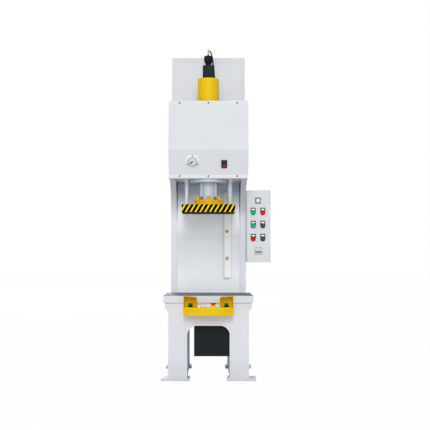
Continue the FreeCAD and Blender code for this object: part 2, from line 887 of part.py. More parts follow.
def gauge_needle():
    """Tapered needle on a hub, at rest on the lower left like the dial's zero."""
    floor = gauge_protrusion - gauge_dial_depth - gauge_lens_thickness
    hub = ring(needle_hub, needle_pin + 2 * running_gap, 1.2, V(0, 0, floor + 1.6))
    root = needle_root / 2
    tip = needle_tip / 2
    tail = needle_hub
    blade = Part.Face(Part.makePolygon([V(0, -root, 0), V(needle_length, -tip, 0), V(needle_length, tip, 0),
                                        V(0, root, 0), V(-tail, tip, 0), V(-tail, -tip, 0), V(0, -root, 0)]))
    blade = blade.extrude(V(0, 0, 1.2))
    blade.Placement = FreeCAD.Placement(V(0, 0, floor + 1.6), FreeCAD.Rotation(Z_AXIS, 225))
    blade = blade.cut(rod(needle_pin + 2 * running_gap, 4, V(0, 0, floor)))
    return on_slope(fused(hub, blade), gauge_x, gauge_height)


def gauge_lens():
    lens = rod(gauge_dial_diameter - seat_gap, gauge_lens_thickness,
               V(0, 0, gauge_protrusion - gauge_lens_thickness))
    return on_slope(lens, gauge_x, gauge_height)


def switch_frame():
    """Black frame of the dual switch, with wells for its two buttons and a body behind the sheet."""
    front = Part.makeBox(switch_width, switch_length, switch_frame_depth,
                         V(-switch_width / 2, -switch_length / 2, 0))
    front = front.makeFillet(3, upright_edges(front, switch_frame_depth))
    body = Part.makeBox(switch_width - 10, switch_length - 10, switch_body_depth,
                        V(-switch_width / 2 + 5, -switch_length / 2 + 5, -switch_body_depth))
    frame = front.fuse(body)
    well_width = switch_button_width + 2 * button_gap
    well_length = switch_button_length + 2 * button_gap
    sink = switch_travel + 1
    for side in MIRRORED:
        corner = V(-well_width / 2, side * switch_button_pitch / 2 - well_length / 2, -sink)
        frame = frame.cut(Part.makeBox(well_width, well_length, switch_frame_depth + sink, corner))
    return on_slope(frame.removeSplitter(), switch_x, switch_height)


def switch_button(side):
    """Square button, side 1 for the upper one and -1 for the lower one."""
    top = switch_frame_depth + 2
    corner = V(-switch_button_width / 2, side * switch_button_pitch / 2 - switch_button_length / 2, 0)
    button = Part.makeBox(switch_button_width, switch_button_length, top, corner)
    button = button.makeFillet(1.2, edges_above(button, top))
    return on_slope(button, switch_x, switch_height)


# ---------------------------------------------------------------- button box
def device_places():
    """Centre X and height of the six button positions, row by row from the top left."""
    return [(device_x + side * device_pitch_x / 2, height) for height in device_rows for side in MIRRORED]


def hinge_segment_heights():
    """Foot and top of each barrel segment of the piano hinge, from the bottom up."""
    span = box_height / hinge_segments
    return [(box_bottom + index * span + hinge_gap / 2, box_bottom + (index + 1) * span - hinge_gap / 2)
            for index in range(hinge_segments)]


def control_box():
    """Folded box, open to the front, with an inner rim, hinge barrels and two wall spacers."""
    back = box_front + box_depth
    shell = slab(box_left, box_right, box_bottom, box_bottom + box_height, box_shell_front, back, 3)
    inner = slab(box_left + box_sheet, box_right - box_sheet, box_bottom + box_sheet,
                 box_bottom + box_height - box_sheet, box_shell_front + box_sheet, back - box_sheet, 2)
    mouth = slab(box_left + box_rim, box_right - box_rim, box_bottom + box_rim,
                 box_bottom + box_height - box_rim, box_shell_front, box_shell_front + box_sheet, 4)
    shell = shell.cut(inner).cut(mouth)
    for height in (box_bottom + spacer_inset, box_bottom + box_height - spacer_inset - spacer_height):
        shell = shell.fuse(block(half_width, box_left, back - spacer_depth, back,
                                 height, height + spacer_height))
    pin_foot = V(hinge_x, y_at(hinge_depth), box_bottom)
    for foot, top in hinge_segment_heights()[::2]:
        barrel = rod(hinge_barrel, top - foot, V(hinge_x, y_at(hinge_depth), foot))
        leaf = block(hinge_x, box_right, hinge_depth, box_shell_front + box_sheet, foot, top)
        shell = shell.fuse(barrel).fuse(leaf)
    return shell.fuse(rod(hinge_pin, box_height, pin_foot)).removeSplitter()


def control_box_door():
    """Door plate with a seal ring behind it, device holes and its share of the hinge barrels."""
    top = box_bottom + box_height
    plate_right = hinge_x - hinge_barrel / 2 - hinge_gap
    plate = slab(box_left, plate_right, box_bottom, top, box_front, box_front + door_thickness, 3)
    seal = slab(box_left + 1, plate_right - 1, box_bottom + 1, top - 1,
                box_front + door_thickness, door_back, 3)
    seal = seal.cut(slab(box_left + box_rim, plate_right - box_rim + 4, box_bottom + box_rim, top - box_rim,
                         box_front + door_thickness, door_back, 3))
    door = plate.fuse(seal)
    for foot, segment_top in hinge_segment_heights()[1::2]:
        barrel = rod(hinge_barrel, segment_top - foot, V(hinge_x, y_at(hinge_depth), foot))
        leaf = block(plate_right - 2, hinge_x, box_front, box_front + door_thickness, foot, segment_top)
        door = door.fuse(barrel).fuse(leaf)
    door = door.cut(rod(hinge_pin + 2 * running_gap, box_height, V(hinge_x, y_at(hinge_depth), box_bottom)))
    for x, height in device_places():
        door = door.cut(rod(device_barrel + seat_gap, door_thickness,
                            V(x, y_at(box_front), height - legend_drop), Y_AXIS))
    for x, height, width, tall in ((device_x, lamp_height, lamp_width, lamp_tall),
                                   (counter_x, counter_height, counter_width, counter_tall)):
        door = door.cut(slab(x - width / 2 + 4, x + width / 2 - 4, height - tall / 2 + 4,
                             height + tall / 2 - 4, box_front, box_front + door_thickness, 1))
    return door.removeSplitter()


def legend_frames():
    """Six legend frames, each with its threaded barrel and contact block behind the door."""
    frames = []
    half = legend_width / 2
    foot_round = half - 0.05
    for x, height in device_places():
        centre = height - legend_drop
        top = height + legend_height / 2
        corners = [(x - half, height - legend_height / 2, foot_round),
                   (x + half, height - legend_height / 2, foot_round),
                   (x + half, top, legend_corner), (x - half, top, legend_corner)]
        front = box_front - legend_depth
        frame = front_profile(corners, front, box_front)
        window_top = top - legend_window_inset
        window = slab(x - legend_window_width / 2, x + legend_window_width / 2,
                      window_top - legend_window_height, window_top, front, front + legend_window_depth, 1)
        barrel = rod(device_barrel, door_thickness, V(x, y_at(box_front), centre), Y_AXIS)
        body = slab(x - device_body_width / 2, x + device_body_width / 2, centre - device_body_width / 2,
                    centre + device_body_width / 2, box_front + door_thickness,
                    box_front + door_thickness + device_body_depth, 2)
        mouth = rod(button_diameter + 2 * well_gap, legend_depth, V(x, y_at(front), centre), Y_AXIS)
        well = rod(button_stem + 2 * well_gap, door_thickness + button_travel,
                   V(x, y_at(box_front), centre), Y_AXIS)
        frames.append(fused(frame.cut(window), barrel, body).cut(mouth).cut(well))
    return Part.makeCompound(frames)


def push_button(index):
    """Round cap that stands out of its legend frame, on a stem through the door."""
    x, height = device_places()[index]
    centre = height - legend_drop
    face = box_front - legend_depth - button_height
    back = box_front - button_travel
    cap = rod(button_diameter, back - face, V(x, y_at(face), centre), Y_AXIS)
    cap = cap.makeFillet(button_round, edges_in_front(cap, y_at(face)))
    stem = rod(button_stem, box_front + door_thickness - back, V(x, y_at(back), centre), Y_AXIS)
    return fused(cap, stem)


def selector_knob(index):
    """Round boss with a raised grip bar, set to the left position, on a stem through the door."""
    x, height = device_places()[index]
    centre = V(x, y_at(box_front - well_gap), height - legend_drop)
    length = legend_depth + 3
    boss = rod(selector_diameter, length, centre, Y_AXIS.negative())
    stem = rod(button_stem, door_thickness + well_gap, centre, Y_AXIS)
    grip = Part.makeBox(selector_grip, selector_height, selector_diameter - 2,
                        V(-selector_grip / 2, -selector_height, -(selector_diameter - 2) / 2))
    grip = grip.makeFillet(2, edges_in_front(grip, -selector_height))
    grip.Placement = FreeCAD.Placement(centre.sub(V(0, length - 1, 0)), FreeCAD.Rotation(Y_AXIS, -45))
    return fused(boss, stem, grip)


def indicator_lamp():
    """Square bezel with a round lens, and its body behind the door."""
    half = lamp_width / 2
    tall = lamp_tall / 2
    bezel = slab(device_x - half, device_x + half, lamp_height - tall, lamp_height + tall,
                 box_front - legend_depth, box_front, 4)
    lens_front = y_at(box_front - legend_depth - lamp_lens_height)
    lens = rod(lamp_lens, legend_depth + lamp_lens_height, V(device_x, lens_front, lamp_height), Y_AXIS)
    lens = lens.makeFillet(2, edges_in_front(lens, lens_front))
    body = slab(device_x - half + 5, device_x + half - 5, lamp_height - tall + 5, lamp_height + tall - 5,
                box_front, box_front + panel_body_depth, 1)
    return fused(bezel, lens, body)


def counter():
    """Panel counter: bezel, recessed window, two keys below it and a body behind the door."""
    half = counter_width / 2
    tall = counter_tall / 2
    front = box_front - counter_depth
    bezel = slab(counter_x - half, counter_x + half, counter_height - tall, counter_height + tall,
                 front, box_front, 3)
    window = slab(counter_x - half + 6, counter_x + half - 6, counter_height + 0.5, counter_height + tall - 6,
                  front, front + 1.5, 1)
    body = slab(counter_x - half + 5, counter_x + half - 5, counter_height - tall + 5,
                counter_height + tall - 5, box_front, box_front + panel_body_depth, 1)
    counter_body = bezel.cut(window).fuse(body)
    for side in MIRRORED:
        key = slab(counter_x + side * 12 - 6, counter_x + side * 12 + 6, counter_height - tall + 6,
                   counter_height - tall + 13, front - 1, front, 1)
        counter_body = counter_body.fuse(key)
    return counter_body.removeSplitter()


# ---------------------------------------------------------------- two-hand box
def hand_plan(inset):
    """Plan face of the two-hand box at height 0: straight back and ends, bulging front."""
    half = hand_width / 2 - inset
    back = V(-half, y_at(-inset), 0)
    back_right = V(half, y_at(-inset), 0)
    end_left = V(-half, y_at(inset - hand_end_depth), 0)
    end_right = V(half, y_at(inset - hand_end_depth), 0)
    centre = V(0, y_at(inset - hand_centre_depth), 0)
    edges = [Part.LineSegment(back, back_right).toShape(),
             Part.LineSegment(back_right, end_right).toShape(),
             Part.Arc(end_right, centre, end_left).toShape(),
             Part.LineSegment(end_left, back).toShape()]
    return Part.Face(Part.Wire(edges))


def hood(side):
    """Folded guard over one palm button: outer cheek, sloping roof, leaning inner cheek and back."""
    outer = hand_width / 2
    inner = outer - hood_width
    wall = hand_sheet
    outside = [(outer, hand_top, 0), (outer, hood_outer_top, 2), (inner, hood_inner_top, 2),
               (inner - hood_lean, hand_top, 0)]
    inside = [(outer - wall, hand_top, 0), (outer - wall, hood_outer_top - wall, 0),
              (inner + wall, hood_inner_top - wall, 0), (inner - hood_lean + wall, hand_top, 0)]
    back = -(table_overhang + table_clearance)
    front = back - hood_depth
    solid = front_profile(outside, front, back).cut(front_profile(inside, front, back - wall))
    return solid if side > 0 else mirror_x(solid)


def two_hand_housing():
    """Yellow sheet housing on the front of the bed with a hood at each end."""
    body = hand_plan(0).extrude(V(0, 0, hand_top - hand_bottom))
    hollow = hand_plan(hand_sheet).extrude(V(0, 0, hand_top - hand_bottom - hand_sheet))
    body.translate(V(0, 0, hand_bottom))
    hollow.translate(V(0, 0, hand_bottom))
    body = body.cut(hollow)
    for side in MIRRORED:
        body = body.fuse(hood(side))
    collar = Part.makeCone(stop_collar / 2, stop_collar / 2 - 6, stop_collar_height,
                           V(stop_x, y_at(-button_line_depth), hand_top))
    body = body.fuse(collar)
    for side in MIRRORED:
        body = body.cut(rod(palm_collar + 2 * button_gap, 2 * hand_sheet,
                            V(side * palm_x, y_at(-palm_depth), hand_top - 2 * hand_sheet)))
    stop_hole = rod(stop_stem + 2 * button_gap, stop_collar_height + 2 * hand_sheet,
                    V(stop_x, y_at(-button_line_depth), hand_top - 2 * hand_sheet))
    return body.cut(stop_hole).removeSplitter()


def palm_button(side):
    """Mushroom button whose dark collar slides through the housing's top onto a switch stem."""
    foot = V(side * palm_x, y_at(-palm_depth), hand_top + palm_collar_height)
    head = rod(palm_head, palm_head_height, foot)
    top = foot.z + palm_head_height
    head = head.makeFillet(5, edges_above(head, top))
    below = 2 * hand_sheet + palm_travel
    collar = rod(palm_collar, palm_collar_height + below, foot.sub(V(0, 0, palm_collar_height + below)))
    return fused(head, collar)


def stop_button():
    """Red mushroom head with a coned underside on a stem."""
    foot = V(stop_x, y_at(-button_line_depth), hand_top + stop_collar_height + stop_travel + seat_gap)
    cone = Part.makeCone(stop_head / 2 - 10, stop_head / 2, stop_head_height * 0.6, foot)
    disc = rod(stop_head, stop_head_height * 0.4, foot.add(V(0, 0, stop_head_height * 0.6)))
    top = foot.z + stop_head_height
    disc = disc.makeFillet(3, edges_above(disc, top))
    stem = rod(stop_stem, stop_stem_length, foot.sub(V(0, 0, stop_stem_length)))
    return fused(cone, disc, stem)


def status_lamp():
    """Pale dome on a low ring."""
    foot = V(dome_x, y_at(-button_line_depth), hand_top)
    ring_height = 4.0
    base = rod(dome_diameter, ring_height, foot)
    rise = dome_height - ring_height
    radius = ((dome_diameter / 2 - 2) ** 2 + rise ** 2) / (2 * rise)
    ball = Part.makeSphere(radius, foot.add(V(0, 0, dome_height - radius)))
    dome = ball.common(rod(dome_diameter, rise, foot.add(V(0, 0, ring_height))))
    return fused(base, dome)


# ---------------------------------------------------------------- between the legs, on the column
def drive_enclosure():
    """Black steel enclosure with a lapped front cover and an angle bracket to the right leg."""
    right = drive_left + drive_width
    top = drive_bottom + drive_height
    lid = slab(drive_left, right, drive_bottom, top, drive_front, drive_front + 18, drive_corner)
    body = slab(drive_left + 2, right - 2, drive_bottom + 2, top - 2, drive_front + 18,
                drive_front + drive_depth, drive_corner)
    case = lid.fuse(body)
    leg = arch_width / 2
    foot = drive_bottom
    wall = drive_bracket_sheet
    near = drive_front + 2
    bracket = block(right - 2, leg, near, near + wall, foot, top)
    leaf = block(leg - wall, leg, near, near + drive_bracket_depth, foot, foot + drive_bracket_height)
    strap = block(right - 2, leg, near, near + drive_bracket_depth, foot + drive_bracket_height - wall,
                  foot + drive_bracket_height)
    return fused(case, bracket, leaf, strap)


def sensor_rail():
    """Shallow channel on the throat plate with rounded lower corners and two sensor holes."""
    x0 = rail_x - rail_width / 2
    x1 = rail_x + rail_width / 2
    front = column_front - rail_depth
    corners = [(x0, rail_bottom, rail_corner), (x1, rail_bottom, rail_corner),
               (x1, rail_top, 0), (x0, rail_top, 0)]
    rail = front_profile(corners, front, column_front)
    inner = [(x0 + rail_sheet, rail_bottom + rail_sheet, rail_corner - rail_sheet),
             (x1 - rail_sheet, rail_bottom + rail_sheet, rail_corner - rail_sheet),
             (x1 - rail_sheet, rail_top, 0), (x0 + rail_sheet, rail_top, 0)]
    rail = rail.cut(front_profile(inner, front + rail_sheet, column_front))
    for height in sensor_heights:
        rail = rail.cut(rod(sensor_diameter - 6, rail_sheet, V(rail_x, y_at(front), height), Y_AXIS))
    return rail


def proximity_sensors():
    """Two sensors with a round face cap in front of the rail and a body behind it."""
    sensors = []
    front = y_at(column_front - rail_depth)
    for height in sensor_heights:
        cap = rod(sensor_diameter, sensor_protrusion, V(rail_x, front, height), Y_AXIS.negative())
        cap = cap.makeFillet(2, edges_in_front(cap, front - sensor_protrusion))
        body = rod(sensor_diameter - 6, rail_depth - seat_gap, V(rail_x, front, height), Y_AXIS)
        sensors.append(fused(cap, body))
    return Part.makeCompound(sensors)


# ---------------------------------------------------------------- motor and pump
def motor():
    """Flange motor: finned housing, terminal box and fan cowl with an air grille."""
    foot = V(0, y_at(motor_depth), shelf_top + motor_flange)
    body = rod(motor_diameter - 2 * motor_fin_height, motor_length, foot)
    for step in range(motor_fin_count):
        fin = Part.makeBox(motor_diameter / 2, 3, motor_length - 30, V(0, -1.5, 15))
        fin.Placement = FreeCAD.Placement(foot, FreeCAD.Rotation(Z_AXIS, 360.0 * step / motor_fin_count))
        body = body.fuse(fin)
    flange = rod(motor_flange_diameter, motor_flange, foot.sub(V(0, 0, motor_flange)))
    cowl_foot = foot.add(V(0, 0, motor_length))
    cowl = rod(motor_diameter, cowl_length, cowl_foot)
    cowl = cowl.makeFillet(10, edges_above(cowl, cowl_foot.z + cowl_length))
    terminal = Part.makeBox(80, 60, 90, V(motor_diameter / 2 - 15, y_at(motor_depth) - 30, foot.z + 90))
    return fused(body, flange, cowl, terminal)


def pump():
    """Bell housing through the shelf with the gear pump under it and its two ports."""
    top = shelf_top
    centre = V(0, y_at(motor_depth), top - bell_length)
    bell = rod(bell_diameter, bell_length, centre)
    body_top = centre.z
    body = Part.makeBox(pump_width, pump_depth, pump_length,
                        V(-pump_width / 2, y_at(motor_depth) - pump_depth / 2, body_top - pump_length))
    body = body.makeFillet(14, upright_edges(body, pump_length))
    port_start = V(-pump_width / 2 - pump_port_height, y_at(motor_depth), body_top - pump_port_drop)
    ports = rod(pump_port, pump_width + 2 * pump_port_height, port_start, X_AXIS)
    return fused(bell, body, ports)


# ---------------------------------------------------------------- valve block, hoses and leads
def port_direction(side):
    """Direction of a hose port: leaning back, with a little spread to the side."""
    lean = math.radians(hose_port_lean)
    return V(side * hose_port_spread, math.sin(lean), math.cos(lean)).normalize()


def port_foot(side):
    return V(side * hose_port_x, rod_y, bonnet_top - hose_port_drop)


def bonnet():
    """Turned dome on the valve block: a short neck that flares out to a plain rim."""
    foot = V(0, rod_y, valve_top)
    flare_foot = foot.add(V(0, 0, bonnet_neck_height))
    rim_foot = flare_foot.add(V(0, 0, bonnet_flare))
    flare = Part.makeCone(bonnet_neck / 2, bonnet_diameter / 2, bonnet_flare, flare_foot)
    rim = rod(bonnet_diameter, bonnet_rim, rim_foot)
    rim = rim.makeFillet(bonnet_round, edges_above(rim, bonnet_top))
    return fused(rod(bonnet_neck, bonnet_neck_height, foot), flare, rim)


def prefill_valve():
    """Cast valve block on the cylinder cap with its bonnet, two hose ports and two cable glands."""
    near = axis_depth - valve_depth / 2
    corners = [(-valve_left, valve_bottom, 0), (valve_right + valve_draft, valve_bottom, 0),
               (valve_right, valve_top, valve_corner), (-valve_left, valve_top, valve_corner)]
    body = front_profile(corners, near, near + valve_depth).fuse(bonnet())
    for side in MIRRORED:
        body = body.fuse(rod(hose_diameter + 2 * hose_port_wall, hose_port_length,
                             port_foot(side), port_direction(side)))
    for route in (cable_route(), lead_route()):
        length = lead_gland_rise + gland_sink
        body = body.fuse(hexagon(gland_nut, length, route[0].sub(V(0, 0, length))))
    return body.removeSplitter()


def hose_routes():
    """Points of the two hoses, from the ports behind the bonnet to sockets on the tank's front face."""
    routes = []
    for side in MIRRORED:
        direction = port_direction(side)
        start = port_foot(side).add(direction * hose_port_length)
        rise = start.add(direction * hose_first_run)
        end = V(side * hose_end_x, y_at(hose_socket), tank_top - hose_end_drop)
        crown = V(side * hose_crown_x, end.y - hose_crown_inset, end.z + hose_crown_rise)
        routes.append([start, rise, crown, end.sub(V(0, hose_last_run, 0)), end])
    return routes


def over_the_lid(end_x, thickness, shares):
    """Points of a lead from just before the tank's front edge to its gland on the terminal box."""
    front = y_at(column_front)
    end = V(end_x, y_at(gland_box_front) - gland_nut_length, tank_top + lead_port_height)
    low = tank_top + cable_diameter
    points = [V(end_x * across, front + (end.y - front) * back, low + thickness * lift + (end.z - low) * rise)
              for across, back, lift, rise in shares]
    return points + [end]


def cable_route():
    """Black lead: up against the bonnet, over its top and along the lid to the terminal box."""
    reach = (bonnet_diameter + cable_diameter) / 2 + cable_gap
    tall = bonnet_top - valve_top
    points = [V(reach * 0.85, rod_y - reach * 0.53, valve_top + lead_gland_rise)]
    for across, back, rise in ((0.85, -0.53, 0.28), (0.80, -0.63, 0.61), (0.66, -0.80, 0.93),
                               (0.50, -0.78, 1.20), (0.37, -0.40, 1.42), (0.24, 0.22, 1.58),
                               (0.11, 1.05, 1.66), (-0.03, 2.15, 1.66)):
        points.append(V(reach * across, rod_y + reach * back, valve_top + tall * rise))
    shares = ((-0.05, -0.19, 0.0, 0.0), (0.17, 0.20, 0.0, 0.0), (0.61, 0.53, 0.0, 0.0),
              (1.0, 0.79, 0.0, 1.0))
    return points + over_the_lid(cable_end_x, cable_diameter, shares)


def lead_route():
    """Pale lead: straight up out of the bonnet, back over the black lead and along the lid beside it."""
    reach = (bonnet_diameter + cable_diameter) / 2 + cable_gap
    tall = bonnet_top - valve_top
    points = [V(lead_x, rod_y, bonnet_top + lead_gland_rise)]
    for back, rise in ((0.0, 0.49), (0.68, 0.83), (2.04, 0.86)):
        points.append(V(lead_x, rod_y + reach * back, bonnet_top + tall * rise))
    shares = ((0.10, -0.19, 1.4, 0.0), (0.25, 0.20, 0.9, 0.0), (0.65, 0.53, 0.0, 0.0), (1.0, 0.79, 0.0, 1.0))
    return points + over_the_lid(lead_end_x, lead_diameter, shares)


def tube(points, diameter, name):
    """Round tube along straight runs joined by arcs of 0.45 of the shorter run."""
    edges = []
    radii = []
    start = points[0]
    for before, here, after in zip(points, points[1:], points[2:]):
        back = before.sub(here)
        onward = after.sub(here)
        reach = 0.45 * min(back.Length, onward.Length)
        turn = math.pi - back.getAngle(onward)
        radius = reach / math.tan(turn / 2)
        radii.append(radius)
        enter = here.add(back.normalize() * reach)
        leave = here.add(onward.normalize() * reach)
        inward = enter.add(leave).multiply(0.5).sub(here).normalize()
        centre_distance = math.hypot(radius, reach)
        middle = here.add(inward * (centre_distance - radius))
        edges.append(Part.LineSegment(start, enter).toShape())
        edges.append(Part.Arc(enter, middle, leave).toShape())
        start = leave
    edges.append(Part.LineSegment(start, points[-1]).toShape())
    path = Part.Wire(edges)
    direction = points[1].sub(points[0]).normalize()
    circle = Part.Wire(Part.Circle(points[0], direction, diameter / 2).toShape())
    solid = path.makePipeShell([circle], True, False)
    ratio = solid.Volume / (math.pi * diameter ** 2 / 4 * path.Length)
    print(f"{name}: length {path.Length:.0f}, least radius {min(radii):.0f}, volume ratio {ratio:.4f}")
    return solid


def oil_hoses():
    return Part.makeCompound([tube(route, hose_diameter, "oil hose") for route in hose_routes()])


def valve_leads():
    return Part.makeCompound([tube(cable_route(), cable_diameter, "black lead"),
                              tube(lead_route(), lead_diameter, "pale lead")])


# ---------------------------------------------------------------- all nodes
def all_nodes():
    bottom_holes = [(bush_diameter + seat_gap, -guide_rod_x, axis_depth),
                    (bush_diameter + seat_gap, guide_rod_x, axis_depth),
                    (stroke_rod_diameter + 2 * stroke_rod_clearance, stroke_rod_x, stroke_rod_depth)]
    return {
        "frame_side_left": side_plate_solid(-1),
        "frame_side_right": side_plate_solid(1),
        "throat_plate": throat_plate(),
        "column_back_plate": column_back_plate(),
        "rear_cover": rear_cover(),
        "head_bottom_plate": head_plate(head_bottom, head_bottom_plate_thickness, bottom_holes,
                                        screw_rows[0]),
        "head_top_plate": head_plate(head_top - head_top_plate_thickness, head_top_plate_thickness, [],
                                     screw_rows[1]),
        "bed_plate": bed_plate(),
        "table_plate": table_plate(),
        "base_front_plate": arch_plate(half_width, 0, front_plate),
        "base_rear_plate": arch_plate(inner_half, base_depth - rear_plate, base_depth),
        "leg_inner_plates": leg_inner_plates(),
        "foot_pads": foot_pads(),
        "oil_tank": oil_tank(),
        "tank_lid": tank_lid(),
        "breather_cap": breather_cap(),
        "cylinder_barrel": cylinder_barrel(),
        "cylinder_cap": cylinder_cap(),
        "rod_gland": rod_gland(),
        "piston": piston(),
        "piston_rod": piston_rod(),
        "rod_flange": rod_flange(),
        "rod_flange_bolts": rod_flange_bolts(),
        "slide_plate": slide_plate(),
        "guide_rods": guide_rods(),
        "guide_bushes": guide_bushes(),
        "stroke_rod": stroke_rod(),
        "head_cover": head_cover(),
        "cover_screws": cover_screws(),
        "gauge_case": gauge_case(),
        "gauge_needle": gauge_needle(),
        "gauge_lens": gauge_lens(),
        "switch_frame": switch_frame(),
        "switch_on_button": switch_button(1),
        "switch_off_button": switch_button(-1),
        "control_box": control_box(),
        "control_box_door": control_box_door(),
        "legend_frames": legend_frames(),
        "button_green_upper": push_button(0),
        "button_red_upper": push_button(1),
        "button_green_middle": push_button(2),
        "selector_upper": selector_knob(3),
        "button_red_lower": push_button(4),
        "selector_lower": selector_knob(5),
        "indicator_lamp": indicator_lamp(),
        "counter": counter(),
        "two_hand_housing": two_hand_housing(),
        "palm_button_left": palm_button(-1),
        "palm_button_right": palm_button(1),
        "stop_button": stop_button(),
        "status_lamp": status_lamp(),
        "drive_enclosure": drive_enclosure(),
        "sensor_rail": sensor_rail(),
        "proximity_sensors": proximity_sensors(),
        "motor": motor(),
        "pump": pump(),
        "prefill_valve": prefill_valve(),
        "oil_hoses": oil_hoses(),
        "valve_leads": valve_leads(),
    }


os.makedirs("parts", exist_ok=True)
for node, shape in all_nodes().items():
    shape.exportStep(f"parts/{node}.step")
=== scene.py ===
# %% [markdown]
# # A single-column hydraulic press, dressed for a render
# The solids of the press come from its CAD model and stay exactly where they are. This lesson gives each
# of them a finish, and adds what a press shop sees up close: weld beads, screws, a printed gauge dial,
# label plates, hoses and leads. Lengths are metres, X is to the operator's right, Y into the depth, Z up.

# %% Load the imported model
import math

import bpy
import numpy as np
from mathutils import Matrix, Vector


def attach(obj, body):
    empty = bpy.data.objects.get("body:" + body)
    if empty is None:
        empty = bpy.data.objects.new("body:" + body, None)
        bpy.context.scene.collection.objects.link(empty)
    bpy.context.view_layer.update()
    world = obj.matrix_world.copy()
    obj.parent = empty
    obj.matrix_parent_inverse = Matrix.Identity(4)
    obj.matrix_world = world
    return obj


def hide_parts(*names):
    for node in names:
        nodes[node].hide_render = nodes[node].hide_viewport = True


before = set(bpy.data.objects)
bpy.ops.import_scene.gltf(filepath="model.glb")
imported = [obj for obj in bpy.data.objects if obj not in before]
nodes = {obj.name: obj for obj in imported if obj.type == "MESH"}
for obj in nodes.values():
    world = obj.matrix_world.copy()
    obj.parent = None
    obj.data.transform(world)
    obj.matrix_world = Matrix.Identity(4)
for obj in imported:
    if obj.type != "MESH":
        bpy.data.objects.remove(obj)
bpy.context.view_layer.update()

# %% [markdown]
# ## Colours by the paint chart
# A paint chart gives a colour as three values from 0 to 255, bent to suit the eye. A shader wants them in
# proportion to the light that comes back, so the first helper undoes the bend. The second makes a tone
# darker or lighter, for the slow change across a sprayed or stained face.

# %% Colours
def srgb(red, green, blue):
    """Linear colour of a value that a paint chart gives from 0 to 255: ((c + 0.055) / 1.055) ** 2.4."""
    shares = np.array([red, green, blue]) / 255.0
    linear = np.where(shares <= 0.04045, shares / 12.92, ((shares + 0.055) / 1.055) ** 2.4)
    return (*(float(v) for v in linear), 1.0)


def scaled(colour, factor):
    """Red, green and blue times the factor, each at most 1."""
    return (*(min(1.0, v * factor) for v in colour[:3]), 1.0)


print("press white in linear light:", [round(v, 3) for v in srgb(226, 227, 234)[:3]])

# %% [markdown]
# ## Nodes for finishes
# Every finish below is a tree of shader nodes on one Principled shader. Wiring them by hand takes many
# lines, so a few helpers come first. Each takes numbers or sockets alike: a socket is linked, and a number
# becomes the default.

# %% Nodes, sums and blends
def plug(tree, socket, value):
    """Links a socket to the input, or sets a plain value on it."""
    if isinstance(value, bpy.types.NodeSocket):
        tree.links.new(value, socket)
    else:
        socket.default_value = value


def node(tree, kind, inputs=None, **settings):
    """New node of this kind, with its settings set and its inputs plugged."""
    made = tree.nodes.new("ShaderNode" + kind)
    for key, value in settings.items():
        setattr(made, key, value)
    for key, value in (inputs or {}).items():
        plug(tree, made.inputs[key], value)
    return made


def calc(tree, operation, *values):
    """One sum, product or comparison of numbers and sockets."""
    return node(tree, "Math", dict(enumerate(values)), operation=operation).outputs[0]


def two_tone(tree, share, first, second):
    """Colour that goes from first to second as share goes from 0 to 1."""
    made = node(tree, "Mix", {0: share, 6: first, 7: second}, data_type="RGBA")
    return made.outputs[2]


def span(tree, value, low, high, to_low=0.0, to_high=1.0):
    """Maps value from the span low to high onto another span, and stops at its ends."""
    inputs = {"Value": value, "From Min": low, "From Max": high, "To Min": to_low, "To Max": to_high}
    return node(tree, "MapRange", inputs).outputs["Result"]


print("node helpers:", [helper.__name__ for helper in (plug, node, calc, two_tone, span)])

# %% [markdown]
# ## Patterns in metres
# All patterns read Object coordinates, which are metres on the press itself, so a stain keeps its size and
# stays put when the eye moves. A scratch is a noise squeezed across and drawn out along one direction, and
# a relief is a bump whose height is given in metres.

# %% Coordinates, noise and relief
def place(tree):
    """Object coordinates: metres on the press."""
    return node(tree, "TexCoord").outputs["Object"]


def facing(tree):
    """x, y and z of the direction that the surface faces."""
    return parts_of(tree, node(tree, "TexCoord").outputs["Normal"])


def stretched(tree, vector, x, y, z):
    """vector * (x, y, z): a noise is drawn out along an axis whose factor is small."""
    return node(tree, "VectorMath", {0: vector, 1: (x, y, z)}, operation="MULTIPLY").outputs[0]


def clouds(tree, vector, scale, detail=3.0, rough=0.5):
    """Noise from 0 to 1 whose spots are about 1 / scale metres wide."""
    inputs = {"Vector": vector, "Scale": scale, "Detail": detail, "Roughness": rough}
    return node(tree, "TexNoise", inputs).outputs["Fac"]


def parts_of(tree, vector):
    """x, y and z of a vector, each as a socket."""
    made = node(tree, "SeparateXYZ", {0: vector})
    return made.outputs[0], made.outputs[1], made.outputs[2]


def relief(tree, height, distance, before=None):
    """Bump of this many metres between height 0 and 1."""
    inputs = {"Height": height, "Distance": distance, "Strength": 1.0}
    if before is not None:
        inputs["Normal"] = before
    return node(tree, "Bump", inputs).outputs[0]


def fresh(name, **inputs):
    """New material with its tree and its shader, whose plain inputs are set by name."""
    material = bpy.data.materials.new(name)
    material.use_nodes = True
    shader = material.node_tree.nodes["Principled BSDF"]
    for key, value in inputs.items():
        shader.inputs[key.replace("_", " ")].default_value = value
    return material, material.node_tree, shader


print("pattern helpers:", [helper.__name__ for helper in (place, facing, stretched, clouds, relief, fresh)])

# %% [markdown]
# ## Painted shade inside the throat
# The paint under the head is painted darker than the rest, as painted shade where the head shades it: dark
# near the cylinder and gone halfway down. A veil keeps the painted shade to the faces that look into the
# throat: it lies in front of the back wall, leaves out faces that are turned away from the middle, and is
# thin on the front edges of the side plates. A fainter zone of painted shade lower down darkens the throat
# above the table.

# %% Painted shade in the throat
throat_half = 0.2290         # half the clear width between the side plates
throat_back = 0.0745         # y just behind the face of the back wall
edge_share = 0.2             # of the painted shade on the side plates' front edges
shade_heights = (1.13, 1.29)  # z from no painted shade to the full painted shade
low_shade_rise = (0.70, 0.88)     # z over which the lower zone of painted shade comes in
low_shade_fall = (0.97, 1.05)     # z over which it goes out again
low_shade_tone = 0.77


